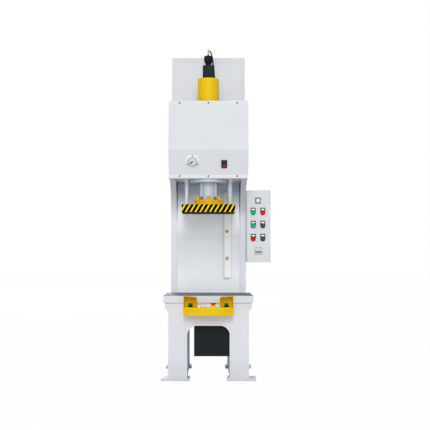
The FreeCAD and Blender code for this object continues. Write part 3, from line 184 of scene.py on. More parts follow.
def filmed(tree, where, base, colour, shade_colour, heights):
    """veil = (y < back) x (x * normal_x < 0.1) x (1 inside the half width, edge_share outside it)."""
    x, y, z = parts_of(tree, where)
    inward = calc(tree, "LESS_THAN", calc(tree, "MULTIPLY", x, facing(tree)[0]), 0.1)
    inside = span(tree, calc(tree, "ABSOLUTE", x), throat_half - 0.0005, throat_half + 0.0005, 1.0,
                  edge_share)
    before = calc(tree, "MULTIPLY", calc(tree, "LESS_THAN", y, throat_back), inward)
    veil = calc(tree, "MULTIPLY", before, inside)
    # Painted shade: a faint zone low on the throat, and the full painted shade under the head.
    low_shade = calc(tree, "MULTIPLY", span(tree, z, *low_shade_rise), span(tree, z, *low_shade_fall, 1.0, 0.0))
    base = two_tone(tree, calc(tree, "MULTIPLY", veil, low_shade), base, scaled(colour, low_shade_tone))
    painted_shade = calc(tree, "MULTIPLY", veil, span(tree, z, *heights))
    return two_tone(tree, painted_shade, base, shade_colour)


print("film from", shade_heights[0], "m up to", shade_heights[1], "m")

# %% [markdown]
# ## Sprayed enamel
# The frame of a press is welded plate, filled, primed and sprayed. Such paint is never one colour: it has
# slow clouds where the coat is thicker, an orange-peel skin a millimetre across, and it dulls where hands
# and dust reach it. A noise at each of these three scales is enough. Floor dust greys the lowest part.
# Inside the throat the colour also takes painted shade.

# %% Enamel
dust_height = 0.16
dust_grey = srgb(150, 146, 138)


def enamel(name, colour, rough=0.36, cloud=0.035, peel=0.00006, dust=0.0, shine=0.5, shade_colour=None,
           heights=shade_heights):
    """Paint: colour x (1 - cloud x slow noise), roughness by a middle noise, skin by a fine one."""
    material, tree, shader = fresh(name, Specular_IOR_Level=shine)
    where = place(tree)
    slow = span(tree, clouds(tree, where, 2.6, 4.0, 0.55), 0.32, 0.68)
    base = two_tone(tree, slow, scaled(colour, 1.0 - cloud), scaled(colour, 1.0 + 0.3 * cloud))
    if dust:
        low = span(tree, parts_of(tree, where)[2], 0.0, dust_height, dust, 0.0)
        patchy = calc(tree, "MULTIPLY", low, clouds(tree, where, 22.0, 5.0, 0.6))
        base = two_tone(tree, patchy, base, dust_grey)
    # Painted shade inside the throat, where the head shades it.
    if shade_colour:
        base = filmed(tree, where, base, colour, shade_colour, heights)
    plug(tree, shader.inputs["Base Color"], base)
    worn = span(tree, clouds(tree, where, 11.0, 4.0), 0.3, 0.7, rough - 0.05, rough + 0.07)
    plug(tree, shader.inputs["Roughness"], worn)
    skin_bump = relief(tree, clouds(tree, where, 700.0, 1.0), peel)
    flow = relief(tree, clouds(tree, where, 34.0, 2.0), 0.00022, before=skin_bump)
    plug(tree, shader.inputs["Normal"], flow)
    return material


print("floor dust up to", dust_height, "m")

# %% Whites of the frame
frame_enamel = enamel("frame_enamel", srgb(226, 227, 234), dust=0.35)
# Where a white has a shade colour, that colour is painted shade inside the throat.
side_enamel = enamel("side_enamel", srgb(232, 232, 240), dust=0.35, shade_colour=srgb(158, 172, 204))
foot_enamel = enamel("foot_enamel", srgb(218, 219, 226), dust=0.3)
# The legs' inner plates are painted darker and bluer than the frame: painted shade for the dim arch between
# the legs.
shaded_leg_enamel = enamel("shaded_leg_enamel", srgb(205, 213, 230), dust=0.3)
# The throat's back wall is painted whiter than the frame: painted light that lifts it where the head and the
# slide shade it.
lightened_throat_enamel = enamel("lightened_throat_enamel", srgb(246, 247, 251), dust=0.2, shade_colour=srgb(178, 193, 216))
rail_enamel = enamel("rail_enamel", srgb(255, 255, 255), shade_colour=srgb(182, 192, 206))
# Painted shade: a grey for the shadow outline round the sensor rail, and a white whose shade colour is a
# painted shadow line in the throat's corners.
rail_shade_enamel = enamel("rail_shade_enamel", srgb(186, 189, 197), shade_colour=srgb(140, 150, 166))
corner_shade_enamel = enamel("corner_shade_enamel", srgb(236, 237, 242), shade_colour=srgb(96, 106, 122), heights=(1.05, 1.20))
cover_enamel = enamel("cover_enamel", srgb(227, 228, 232), rough=0.46, cloud=0.02, shine=0.3)
whites = [frame_enamel, side_enamel, foot_enamel, shaded_leg_enamel, lightened_throat_enamel, rail_enamel, rail_shade_enamel,
          corner_shade_enamel, cover_enamel]
print("whites:", len(whites))

# %% [markdown]
# ## Coloured enamels
# What moves or has to be found fast is yellow, the rod flange is a warmer orange, and the drive, the valve
# and the motor wear their makers' dull dark coats. These paints shine less than the white, so that lamps
# don't wash their colour out.

# %% Yellow, orange, black and blue
yellow_enamel = enamel("yellow_enamel", srgb(243, 201, 0), rough=0.4, cloud=0.05, shine=0.16)
orange_enamel = enamel("orange_enamel", srgb(233, 179, 0), rough=0.4, cloud=0.05, shine=0.16)
black_enamel = enamel("black_enamel", srgb(17, 26, 31), rough=0.5, cloud=0.12, peel=0.00009, shine=0.14)
valve_enamel = enamel("valve_enamel", srgb(21, 31, 37), rough=0.45, cloud=0.15, shine=0.08)
motor_enamel = enamel("motor_enamel", srgb(88, 116, 146), rough=0.4, cloud=0.08)
colours = [yellow_enamel, orange_enamel, black_enamel, valve_enamel, motor_enamel]
print("coloured enamels:", len(colours))

# %% [markdown]
# ## Warning stripes
# The slide is masked and painted with slanted black and yellow bars on its four sides, so a hand sees it
# come. The bars are one sawtooth: x + y runs on round the corners, z leans them, and a comparison cuts the
# wave in two. Faces turned down are black, and faces turned up are plain yellow.

# %% Striped enamel of the slide
stripe_period = 0.0330
stripe_lean = 0.59           # sideways metres for each metre of height
stripe_shift = 0.0061
yellow_share = 0.37          # of each period


def stripes(name):
    """Yellow where fract((x - shift + y - lean * z) / period) is under the share, and black elsewhere."""
    material, tree, shader = fresh(name, Roughness=0.55, Specular_IOR_Level=0.02)
    where = place(tree)
    x, y, z = parts_of(tree, where)
    ragged = span(tree, clouds(tree, where, 160.0, 3.0), 0.0, 1.0, -0.0005, 0.0005)
    along = calc(tree, "ADD", calc(tree, "ADD", calc(tree, "SUBTRACT", x, stripe_shift), y), ragged)
    phase = calc(tree, "SUBTRACT", along, calc(tree, "MULTIPLY", z, stripe_lean))
    wave = calc(tree, "FRACT", calc(tree, "DIVIDE", phase, stripe_period))
    black = span(tree, wave, yellow_share - 0.01, yellow_share + 0.01)
    slow = span(tree, clouds(tree, where, 9.0, 4.0), 0.3, 0.7, 0.0, 0.12)
    yellow = two_tone(tree, slow, srgb(246, 218, 0), srgb(222, 190, 0))
    dark = two_tone(tree, slow, srgb(2, 2, 2), srgb(8, 8, 7))
    side = two_tone(tree, black, yellow, dark)
    up = facing(tree)[2]
    above = two_tone(tree, span(tree, up, 0.6, 0.7), side, yellow)
    below = two_tone(tree, span(tree, up, -0.7, -0.6, 1.0, 0.0), above, dark)
    plug(tree, shader.inputs["Base Color"], below)
    plug(tree, shader.inputs["Normal"], relief(tree, clouds(tree, where, 600.0, 1.0), 0.00006))
    return material


slide_stripes = stripes("slide_stripes")
print("stripes:", round(stripe_period * 1000), "mm apart")

# %% [markdown]
# ## Bare metal
# Ground faces carry fine parallel scratches, so their noise is squeezed across the grinding and drawn out
# along it. Turned parts get the same noise unstretched. The chromed rod's colour holds a painted reflection:
# it goes dark in two thin lines at a set distance from the middle, for the gaps beside it, and pale outside
# them, for the pale room, which also lifts the shading at its sides.

# %% Ground, turned and plated metal
dark_reflection_width = (0.0016, 0.0044)    # metres off the line's middle, from the full dark tone to none of it
pale_reflection_width = 0.022              # from the line's middle outwards to the full pale tone
pale_reflection = srgb(238, 246, 255)


def metal(name, colour, rough, grain=(1.0, 1.0, 1.0), scratch=0.00003, fine=900.0, bare=1.0, reflection_line=0.0):
    """Metal whose colour and roughness follow a noise stretched by grain; a painted reflection puts dark
    lines at a set |x| and a pale colour outside them.
    """
    material, tree, shader = fresh(name, Metallic=bare)
    where = place(tree)
    lines = clouds(tree, stretched(tree, where, *grain), fine, 2.0, 0.6)
    stain = span(tree, clouds(tree, where, 14.0, 4.0), 0.35, 0.7)
    toned = two_tone(tree, stain, colour, scaled(colour, 0.86))
    base = two_tone(tree, span(tree, lines, 0.3, 0.7), scaled(colour, 0.93), toned)
    # Painted reflection: two thin dark lines, and pale colour outside them that also lifts the shaded sides.
    if reflection_line:
        beside = calc(tree, "ABSOLUTE", parts_of(tree, where)[0])
        off = calc(tree, "ABSOLUTE", calc(tree, "SUBTRACT", beside, reflection_line))
        base = two_tone(tree, span(tree, beside, reflection_line, reflection_line + pale_reflection_width), base, pale_reflection)
        base = two_tone(tree, span(tree, off, *dark_reflection_width, 0.55, 0.0), base, scaled(colour, 0.35))
    plug(tree, shader.inputs["Base Color"], base)
    plug(tree, shader.inputs["Roughness"], span(tree, lines, 0.25, 0.75, rough - 0.06, rough + 0.08))
    plug(tree, shader.inputs["Normal"], relief(tree, lines, scratch))
    return material


chrome = metal("hard_chrome", srgb(194, 203, 217), 0.5, grain=(0.05, 0.05, 1.0), scratch=0.000004,
               fine=500.0, bare=0.2, reflection_line=0.035)
ground_steel = metal("ground_steel", srgb(204, 211, 221), 0.5, grain=(0.1, 0.1, 1.0), scratch=0.00001,
                     bare=0.15)
dark_steel = metal("black_oxide_steel", srgb(62, 64, 68), 0.38)
honed_steel = metal("honed_steel", srgb(186, 194, 205), 0.55, bare=0.2)
bush_steel = metal("bush_steel", srgb(212, 218, 226), 0.5, bare=0.2)
bronze = metal("turned_bronze", srgb(178, 146, 84), 0.32)
oiled_steel = metal("oiled_steel", srgb(84, 46, 34), 0.4, bare=0.5)
zinc = metal("zinc_plate", srgb(205, 206, 202), 0.3, fine=300.0)
print("metals:", len([chrome, ground_steel, dark_steel, honed_steel, bush_steel, bronze, oiled_steel, zinc]))

# %% [markdown]
# ## The table
# A press table is one thick plate: its edges are painted with the frame, and its machined top has gone
# dark slate from oil and clamping. The T-slots are bare inside as well. So the finish asks where a point
# lies: on the top, or inside the edges and above the slots' floor, it is steel, and elsewhere paint.

# %% Table
table_top = 0.570
table_half = 0.300
table_front = -0.4325
table_rear = 0.0735
slot_depth = 0.040
top_skin = 0.0035
edge = 0.0005


def table_finish(name):
    """bare = max(inside the four edges and above the slots' floor, within the skin of the top)."""
    material, tree, shader = fresh(name)
    where = place(tree)
    x, y, z = parts_of(tree, where)
    side = calc(tree, "LESS_THAN", calc(tree, "ABSOLUTE", x), table_half - edge)
    front = calc(tree, "GREATER_THAN", y, table_front + edge)
    rear = calc(tree, "LESS_THAN", y, table_rear - edge)
    above = calc(tree, "GREATER_THAN", z, table_top - slot_depth)
    inside = calc(tree, "MULTIPLY", calc(tree, "MULTIPLY", side, front), calc(tree, "MULTIPLY", rear, above))
    bare = calc(tree, "MAXIMUM", inside, calc(tree, "GREATER_THAN", z, table_top - top_skin))
    lines = clouds(tree, stretched(tree, where, 0.04, 1.0, 1.0), 900.0, 3.0, 0.6)
    oil = span(tree, clouds(tree, where, 7.0, 5.0, 0.6), 0.35, 0.7)
    steel = two_tone(tree, oil, srgb(62, 77, 91), srgb(44, 58, 71))
    steel = two_tone(tree, span(tree, lines, 0.45, 0.8, 0.0, 0.35), steel, srgb(140, 150, 158))
    slow = span(tree, clouds(tree, where, 2.6, 4.0), 0.32, 0.68)
    paint = two_tone(tree, slow, srgb(221, 223, 231), srgb(227, 229, 237))
    plug(tree, shader.inputs["Base Color"], two_tone(tree, bare, paint, steel))
    plug(tree, shader.inputs["Metallic"], calc(tree, "MULTIPLY", bare, 0.6))
    plug(tree, shader.inputs["Roughness"], span(tree, lines, 0.2, 0.8, 0.42, 0.56))
    plug(tree, shader.inputs["Normal"], relief(tree, lines, 0.00003))
    return material


table_material = table_finish("table_finish")
print("table top at", table_top, "m")

# %% [markdown]
# ## Plastics and printed faces
# Buttons are moulded: a glossy cap has a hardly visible ripple, and a housing a fine grain from the spark
# machine. A printed dial, a label and a window are flat, so they take the same finish without the grain.

# %% Moulded parts
def moulded(name, colour, rough=0.3, grain=0.00003, shine=0.4):
    """Colour x (0.94 to 1) by a middle noise, which also sets the roughness, under a fine grain."""
    material, tree, shader = fresh(name, Specular_IOR_Level=shine)
    where = place(tree)
    mottle = span(tree, clouds(tree, where, 60.0, 3.0), 0.3, 0.7)
    plug(tree, shader.inputs["Base Color"], two_tone(tree, mottle, scaled(colour, 0.94), colour))
    plug(tree, shader.inputs["Roughness"], span(tree, mottle, 0.0, 1.0, rough, rough + 0.08))
    plug(tree, shader.inputs["Normal"], relief(tree, clouds(tree, where, 900.0, 1.0), grain))
    return material


black_plastic = moulded("black_plastic", srgb(30, 36, 40), 0.5, 0.00006, shine=0.2)
green_plastic = moulded("green_plastic", srgb(0, 200, 134), 0.45, shine=0.08)
dark_green_plastic = moulded("dark_green_plastic", srgb(14, 70, 58), 0.4, shine=0.1)
red_plastic = moulded("red_plastic", srgb(252, 4, 8), 0.45, shine=0.08)
dark_red_plastic = moulded("dark_red_plastic", srgb(192, 14, 24), 0.4, shine=0.1)
knob_plastic = moulded("knob_plastic", srgb(72, 84, 92), 0.5, 0.00006, shine=0.2)
grey_plastic = moulded("grey_plastic", srgb(196, 200, 204), 0.4, 0.00005)
orange_plastic = moulded("orange_plastic", srgb(196, 140, 96), 0.35)
plastics = [black_plastic, green_plastic, dark_green_plastic, red_plastic, dark_red_plastic, knob_plastic,
            grey_plastic, orange_plastic]
print("plastics:", len(plastics))

# %% Printed and flat faces
label_white = moulded("label_white", srgb(255, 255, 255), 0.5, 0.00001)
display_green = moulded("display_green", srgb(234, 244, 240), 0.4, 0.0, shine=0.2)
# Painted shade: a grey for the strip that stands for the dark gap beside the button box.
gap_shade_grey = moulded("gap_shade_grey", srgb(206, 210, 216), 0.5, 0.0, shine=0.2)
# A dark grey for the counter's groove, and for the table's joint where it is partly painted shadow under the
# table's edge.
groove_and_shadow_grey = moulded("groove_and_shadow_grey", srgb(104, 112, 116), 0.4, 0.0, shine=0.1)
mark_grey = moulded("mark_grey", srgb(116, 128, 128), 0.5, 0.0, shine=0.1)
dial_paint = moulded("dial_paint", srgb(232, 240, 246), 0.35, 0.0)
dial_ink = moulded("dial_ink", srgb(92, 110, 124), 0.45, 0.0)
margin_blue = moulded("margin_blue", srgb(120, 130, 152), 0.35, 0.0)
needle_enamel = moulded("needle_enamel", srgb(12, 32, 58), 0.45, 0.0, shine=0.1)
print("materials so far:", len(bpy.data.materials))

# %% [markdown]
# ## Two colours on one solid
# A lamp is a pale lens in a dark bezel, and a mushroom button a bright head on a dark collar, yet each is
# one solid. The finish measures the distance from a centre, along marked axes only: along x and z it is a
# round lens, and along z alone it parts what is above a height from what is below it.

# %% Lens and bezel, head and collar
lamp_centre = (0.353, 0.0, 1.227)
lens_radius = 0.0138
palm_level = 0.506           # height at which the collar ends and the head begins
stop_level = 0.5093
status_level = 0.4988


def split_finish(name, centre, axes, limit, inner, outer, rough=0.3, coat=0.3, shine=0.5, stain=0.12):
    """Inner colour where |(p - centre) * axes| is under the limit, and outer colour elsewhere."""
    material, tree, shader = fresh(name, Roughness=rough, Coat_Weight=coat, Specular_IOR_Level=shine)
    where = place(tree)
    offset = node(tree, "VectorMath", {0: where, 1: centre}, operation="SUBTRACT").outputs[0]
    flat = stretched(tree, offset, *axes)
    distance = node(tree, "VectorMath", {0: flat}, operation="LENGTH").outputs["Value"]
    share = span(tree, distance, limit - 0.0002, limit + 0.0002)
    mottle = span(tree, clouds(tree, where, 80.0, 3.0), 0.3, 0.7, 0.0, stain)
    base = two_tone(tree, share, inner, outer)
    plug(tree, shader.inputs["Base Color"], two_tone(tree, mottle, base, srgb(60, 60, 60)))
    plug(tree, shader.inputs["Normal"], relief(tree, clouds(tree, where, 800.0, 1.0), 0.00002))
    return material


def stacked_finish(name, height, upper, lower, **settings):
    """Upper colour within 0.1 m above the height, and lower colour under it."""
    return split_finish(name, (0, 0, height + 0.1), (0, 0, 1), 0.1, upper, lower, **settings)


lamp_finish = split_finish("lamp_finish", lamp_centre, (1, 0, 1), lens_radius, srgb(221, 224, 227),
                           srgb(92, 100, 106))
palm_finish = stacked_finish("palm_finish", palm_level, srgb(0, 128, 34), srgb(20, 34, 26), rough=0.5,
                             coat=0.0, shine=0.05, stain=0.04)
stop_finish = stacked_finish("stop_finish", stop_level, srgb(250, 0, 8), srgb(190, 10, 14), rough=0.5,
                             coat=0.0, shine=0.05, stain=0.03)
status_finish = stacked_finish("status_finish", status_level, srgb(252, 255, 253), srgb(176, 182, 182))
print("two-coloured finishes:", [m.name for m in (lamp_finish, palm_finish, stop_finish, status_finish)])

# %% [markdown]
# ## Gauge case and glass
# The gauge and the switch sit on the sloped lower face of the head cover, so their places are given by the
# slope's own axes. The case is one solid: its flange lies on the sheet in white, and what stands above a
# level along the slope's normal is the pale metal bezel. The glass stays a thin clear sheet with a low
# alpha, because real refraction would leave its dial in the dark.

# %% Slope, gauge case and glass
slope_side = np.array([1.0, 0.0, 0.0])
slope_up = np.array([0.0, -0.385806, 0.922580])
slope_out = np.array([0.0, -0.922580, -0.385806])
gauge_centre = np.array([-0.1084, -0.341133, 1.4716])
switch_centre = np.array([0.1066, -0.333773, 1.4540])


def gauge_finish(name, centre, normal, level):
    """White flange on the sheet, pale metal bezel where dot(p - centre, normal) is over the level."""
    material, tree, shader = fresh(name, Roughness=0.32)
    offset = node(tree, "VectorMath", {0: place(tree), 1: centre}, operation="SUBTRACT").outputs[0]
    height = node(tree, "VectorMath", {0: offset, 1: normal}, operation="DOT_PRODUCT").outputs["Value"]
    share = span(tree, height, level - 0.0002, level + 0.0002)
    mottle = span(tree, clouds(tree, place(tree), 90.0, 3.0), 0.3, 0.7, 0.0, 0.15)
    base = two_tone(tree, share, srgb(254, 255, 255), srgb(216, 224, 236))
    plug(tree, shader.inputs["Base Color"], two_tone(tree, mottle, base, srgb(120, 136, 150)))
    plug(tree, shader.inputs["Metallic"], calc(tree, "MULTIPLY", share, 0.15))
    return material


def clear_glass(name):
    """Thin clear sheet: colour = (white + tint) / 2, and a haze of finger marks sets the roughness."""
    pale = tuple((1.0 + v) / 2.0 for v in srgb(236, 246, 246))
    material, tree, shader = fresh(name, Base_Color=pale, Alpha=0.10, IOR=1.45)
    haze = span(tree, clouds(tree, place(tree), 40.0, 3.0), 0.4, 0.8, 0.03, 0.08)
    plug(tree, shader.inputs["Roughness"], haze)
    return material


case_finish = gauge_finish("gauge_finish", tuple(gauge_centre), tuple(slope_out), 0.0045)
gauge_glass = clear_glass("gauge_glass")
print("slope leans", round(math.degrees(math.asin(-slope_out[2])), 1), "degrees")

# %% [markdown]
# ## Rubber
# A hose has the mark of the cloth that it was wrapped in, a fine rib that winds round it. A sine of the
# three coordinates' sum runs on along a hose whichever way that turns, and a gritty noise breaks it up.

# %% Hose and lead
def hose_rubber(name, colour, wrap, rough=0.5):
    """Relief = sin(wrap * (x + y + z)) + grit."""
    material, tree, shader = fresh(name)
    where = place(tree)
    x, y, z = parts_of(tree, where)
    turns = calc(tree, "SINE", calc(tree, "MULTIPLY", calc(tree, "ADD", calc(tree, "ADD", y, z), x), wrap))
    grit = clouds(tree, where, 300.0, 3.0)
    plug(tree, shader.inputs["Base Color"], two_tone(tree, grit, colour, scaled(colour, 1.5)))
    plug(tree, shader.inputs["Roughness"], span(tree, grit, 0.3, 0.7, rough - 0.08, rough + 0.1))
    plug(tree, shader.inputs["Normal"], relief(tree, calc(tree, "ADD", turns, grit), 0.0002))
    return material


black_rubber = hose_rubber("black_rubber", srgb(30, 34, 38), 1400.0)
pale_lead_skin = hose_rubber("pale_lead_skin", srgb(232, 204, 176), 2400.0, 0.4)
print("rib of a hose every", round(2000.0 * math.pi / 1400.0, 1), "mm")

# %% [markdown]
# ## Each solid gets its finish
# One table says what wears what, as a paint shop's job sheet does. A solid that is missing from it would
# stay grey, so the last line prints any that are left.

# %% The job sheet
finishes = {
    frame_enamel: ["column_back_plate", "head_bottom_plate", "head_top_plate", "bed_plate",
                   "base_front_plate", "base_rear_plate"],
    side_enamel: ["frame_side_left", "frame_side_right"],
    foot_enamel: ["foot_pads"],
    shaded_leg_enamel: ["leg_inner_plates"],
    lightened_throat_enamel: ["throat_plate"],
    # The sensor rail wears the grey of the painted shadow outline.
    rail_shade_enamel: ["sensor_rail"],
    cover_enamel: ["rear_cover", "oil_tank", "tank_lid", "head_cover", "control_box",
                   "control_box_door"],
    yellow_enamel: ["cylinder_cap", "two_hand_housing"],
    orange_enamel: ["rod_flange", "rod_flange_bolts"],
    black_enamel: ["drive_enclosure"],
    valve_enamel: ["prefill_valve"],
    motor_enamel: ["motor"],
    slide_stripes: ["slide_plate"],
    table_material: ["table_plate"],
    chrome: ["piston_rod"],
    ground_steel: ["guide_rods", "stroke_rod"],
    bush_steel: ["guide_bushes"],
    dark_steel: ["cover_screws", "breather_cap"],
    honed_steel: ["cylinder_barrel", "piston", "pump"],
    bronze: ["rod_gland"],
    black_plastic: ["switch_frame", "legend_frames"],
    green_plastic: ["button_green_upper", "button_green_middle"],
    dark_green_plastic: ["switch_on_button"],
    red_plastic: ["button_red_upper", "button_red_lower"],
    dark_red_plastic: ["switch_off_button"],
    knob_plastic: ["selector_upper", "selector_lower"],
    grey_plastic: ["counter"],
    orange_plastic: ["proximity_sensors"],
    lamp_finish: ["indicator_lamp"],
    palm_finish: ["palm_button_left", "palm_button_right"],
    stop_finish: ["stop_button"],
    status_finish: ["status_lamp"],
    case_finish: ["gauge_case"],
    needle_enamel: ["gauge_needle"],
    gauge_glass: ["gauge_lens"],
    black_rubber: ["oil_hoses", "valve_leads"],
}


def wear(piece, material):
    """Puts one material on a piece in place of all that it had."""
    piece.data.materials.clear()
    piece.data.materials.append(material)


dressed = set()
for material, names in finishes.items():
    for name in names:
        wear(nodes[name], material)
        dressed.add(name)
print("without a finish:", sorted(set(nodes) - dressed))

# %% [markdown]
# ## The photograph's view
# The press is seen from the front at a distance of some six and a half metres, with the eye at the height
# of the control box. A lens shift would keep the verticals parallel, but other views of the model use the
# same camera, so the shift stays small and the camera looks up by a degree or so instead.

# %% Camera
camera_data = bpy.data.cameras.new("camera")
camera_data.sensor_width = 36.0
camera_data.lens = 78.25
camera_data.shift_x = 0.01525
camera_data.shift_y = 0.05
camera = bpy.data.objects.new("camera", camera_data)
bpy.context.scene.collection.objects.link(camera)
camera.location = (0.0, -6.649, 0.8083)
camera.rotation_euler = (math.radians(91.4024), 0.0, 0.0)
bpy.context.scene.camera = camera
print("camera:", round(-camera.location.y, 2), "m in front, with a lens of", camera_data.lens, "mm")

# %% [markdown]
# ## Surfaces from arrays
# Everything added from here on is a mesh worked out with numpy: arrays of points, and faces that index
# them. Most pieces are either a box or a profile turned about an axis, and a turned one is a grid of rows
# and steps whose last step meets the first. Its two ends close in a fan round a pole.

# %% Turned shapes and boxes
def unit(vector):
    """vector / its length."""
    vector = np.asarray(vector, float)
    return vector / np.linalg.norm(vector)


def frame_of(axis):
    """Two unit vectors square to the axis, so that side x up = axis."""
    axis = unit(axis)
    helper = np.array([0.0, 0.0, 1.0]) if abs(axis[2]) < 0.9 else np.array([1.0, 0.0, 0.0])
    side = unit(np.cross(helper, axis))
    return side, np.cross(axis, side), axis


def skin(rows, steps, first=1):
    """Quads of a grid of rows x steps that is closed round its steps, with the two poles' triangles."""
    index = first + np.arange(rows * steps).reshape(rows, steps)
    after = np.roll(index, -1, axis=1)
    quads = np.stack([index[:-1], after[:-1], after[1:], index[1:]], axis=-1).reshape(-1, 4)
    start = np.stack([np.full(steps, first - 1), after[0], index[0]], axis=-1)
    end = np.stack([np.full(steps, first + rows * steps), index[-1], after[-1]], axis=-1)
    return quads.tolist() + start.tolist() + end.tolist()


def turned(profile, centre, axis, steps=24):
    """Profile of (along, radius) turned round an axis: centre + along * axis + radius * (cos, sin)."""
    side, up, axis = frame_of(axis)
    along, radius = np.array(profile, float).T
    angle = np.linspace(0.0, 2.0 * np.pi, steps, endpoint=False)
    ring = np.cos(angle)[:, None] * side + np.sin(angle)[:, None] * up
    middle = along[1:-1, None, None] * axis + radius[1:-1, None, None] * ring
    ends = along[[0, -1], None] * axis
    points = np.vstack([ends[:1], middle.reshape(-1, 3), ends[1:]]) + np.asarray(centre, float)
    return points, skin(len(profile) - 2, steps)


def block(low, high):
    """Box of eight corners, each low + share * (high - low) with shares of 0 or 1."""
    low, high = np.asarray(low, float), np.asarray(high, float)
    share = np.array([(x, y, z) for z in (0, 1) for y in (0, 1) for x in (0, 1)], float)
    faces = [(0, 2, 3, 1), (4, 5, 7, 6), (0, 1, 5, 4), (2, 6, 7, 3), (0, 4, 6, 2), (1, 3, 7, 5)]
    return low + share * (high - low), faces


print("faces of a turned shape of 3 rows and 24 steps:", len(skin(3, 24)))

# %% [markdown]
# ## Putting new pieces on the press
# Each new piece rides on the body that carries it, so that it moves with the slide or the door. Shapes that
# share a finish and a body are joined into one mesh. Edges sharper than an angle stay sharp, and the rest
# are shaded smooth.

# %% From shapes to pieces
def joined(name, shapes):
    """One mesh of several shapes: each shape's faces are raised by the number of points before it."""
    points, faces, count = [], [], 0
    for part_points, part_faces in shapes:
        points.append(part_points)
        faces += [[i + count for i in face] for face in part_faces]
        count += len(part_points)
    mesh = bpy.data.meshes.new(name)
    mesh.from_pydata(np.vstack(points).tolist(), [], faces)
    mesh.update()
    return mesh


def added(name, data, material, body):
    """Links a mesh or curve as a piece, dresses it, and ties it to its body."""
    piece = bpy.data.objects.new(name, data)
    bpy.context.scene.collection.objects.link(piece)
    wear(piece, material)
    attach(piece, body)
    return piece


def built(name, shapes, material, body, smooth=0.0):
    """Adds shapes as one piece, shaded smooth where two faces meet at less than this many degrees."""
    mesh = joined(name, shapes)
    if smooth:
        mesh.polygons.foreach_set("use_smooth", np.ones(len(mesh.polygons), bool))
        mesh.set_sharp_from_angle(angle=math.radians(smooth))
    return added(name, mesh, material, body)


# %% [markdown]
# ## Hoses and leads over the head
# Two oil hoses leave the prefill valve on top of the cylinder and end in sockets on the tank's front, and
# two thin leads run from the same valve to the terminal box on the lid. All four are free in the air
# between their ends, so each is a NURBS spline of order 3: the control points are the same as in the CAD
# route, and the curve eases round them as rubber does. A bevel on the curve gives it its thickness.

# %% Routes
hose_points = np.array([(-0.014297, -0.122123, 2.203891), (-0.016295, -0.083534, 2.214231),
                        (-0.017, -0.0125, 2.2405), (-0.017, 0.0255, 2.2365), (-0.017, 0.0595, 2.2365)])
mirrored_hose = hose_points * (-1.0, 1.0, 1.0)
black_lead_points = np.array([
    (0.031875, -0.186375, 2.156), (0.031875, -0.186375, 2.17232), (0.03, -0.190125, 2.19509),
    (0.02475, -0.1965, 2.21717), (0.01875, -0.19575, 2.2358), (0.013875, -0.1815, 2.25098),
    (0.009, -0.15825, 2.26202), (0.004125, -0.127125, 2.26754), (-0.001125, -0.085875, 2.26754),
    (-0.0009, 0.02961, 2.2715), (0.00306, 0.1197, 2.2715), (0.01098, 0.19593, 2.2715),
    (0.018, 0.25599, 2.2865), (0.018, 0.3045, 2.2865)])
pale_lead_points = np.array([
    (-0.002, -0.1665, 2.225), (-0.002, -0.1665, 2.25581), (-0.002, -0.141, 2.27927),
    (-0.002, -0.09, 2.28134), (-0.002, 0.02961, 2.2827), (-0.005, 0.1197, 2.2787),
    (-0.013, 0.19593, 2.2715), (-0.02, 0.25599, 2.2865), (-0.02, 0.3045, 2.2865)])
print("control points:", len(hose_points), len(black_lead_points), len(pale_lead_points))

# %% Four cords
hose_diameter = 0.022
black_lead_diameter = 0.009
pale_lead_diameter = 0.008


def cord_line(name, points, diameter, material, node_name):
    """Round bevel of half the diameter along a NURBS spline through the space of its control points."""
    data = bpy.data.curves.new(name, "CURVE")
    data.dimensions = "3D"
    data.bevel_depth = diameter / 2.0
    data.bevel_resolution = 7
    data.resolution_u = 14
    data.use_fill_caps = True
    line = data.splines.new("NURBS")
    line.points.add(len(points) - 1)
    line.points.foreach_set("co", np.column_stack([points, np.ones(len(points))]).ravel())
    line.order_u = 3
    line.use_endpoint_u = True
    cord = added(name, data, material, "frame")
    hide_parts(node_name)
    return cord


cord_line("oil_hose_left", hose_points, hose_diameter, black_rubber, "oil_hoses")
cord_line("oil_hose_right", mirrored_hose, hose_diameter, black_rubber, "oil_hoses")
cord_line("valve_lead_black", black_lead_points, black_lead_diameter, black_rubber, "valve_leads")
cord_line("valve_lead_pale", pale_lead_points, pale_lead_diameter, pale_lead_skin, "valve_leads")
print("cords: 2 hoses, 2 leads")

# %% [markdown]
# ## Boots and ferrules
# A lead is gripped in its gland by a rubber boot that tapers down to the lead, so that it can't fold at the
# nut. A hose has a steel ferrule pressed on each end instead. Both are one profile turned about the line on
# which the cord leaves.

# %% Boots on the leads, ferrules on the hoses
round_angle = 35.0           # degrees up to which turned pieces are shaded smooth


def sleeve(points, length, wide, narrow):
    """Profile that tapers from wide to narrow along the first stretch of the points."""
    profile = [(-0.0005, 0.0), (-0.0005, wide), (0.15 * length, wide), (0.22 * length, wide * 0.94),
               (0.9 * length, narrow * 1.04), (length, narrow * 0.97), (length, 0.0)]
    return turned(profile, points[0], points[1] - points[0])


boots = []
for points, diameter in ((black_lead_points, black_lead_diameter), (pale_lead_points, pale_lead_diameter)):
    wide, narrow = diameter / 2.0 + 0.0017, diameter / 2.0 + 0.0005
    boots += [sleeve(points, 0.013, wide, narrow), sleeve(points[::-1], 0.013, wide, narrow)]
built("lead_boots", boots, black_rubber, "frame", round_angle)
ferrules = []
for points in (hose_points, mirrored_hose):
    ferrules += [sleeve(points, 0.024, 0.0128, 0.0122), sleeve(points[::-1], 0.020, 0.0128, 0.0122)]
built("hose_ferrules", ferrules, dark_steel, "frame", round_angle)
print("boots:", len(boots), "ferrules:", len(ferrules))

# %% [markdown]
# ## The dial of the pressure gauge
# The dial is a printed disc at the bottom of the case, with a darker raised margin round it where the glass
# is seated. Both are turned about the slope's normal, and their profiles start and end on it.

# %% Dial and margin
dial_radius = 0.0272
margin_radius = 0.0309

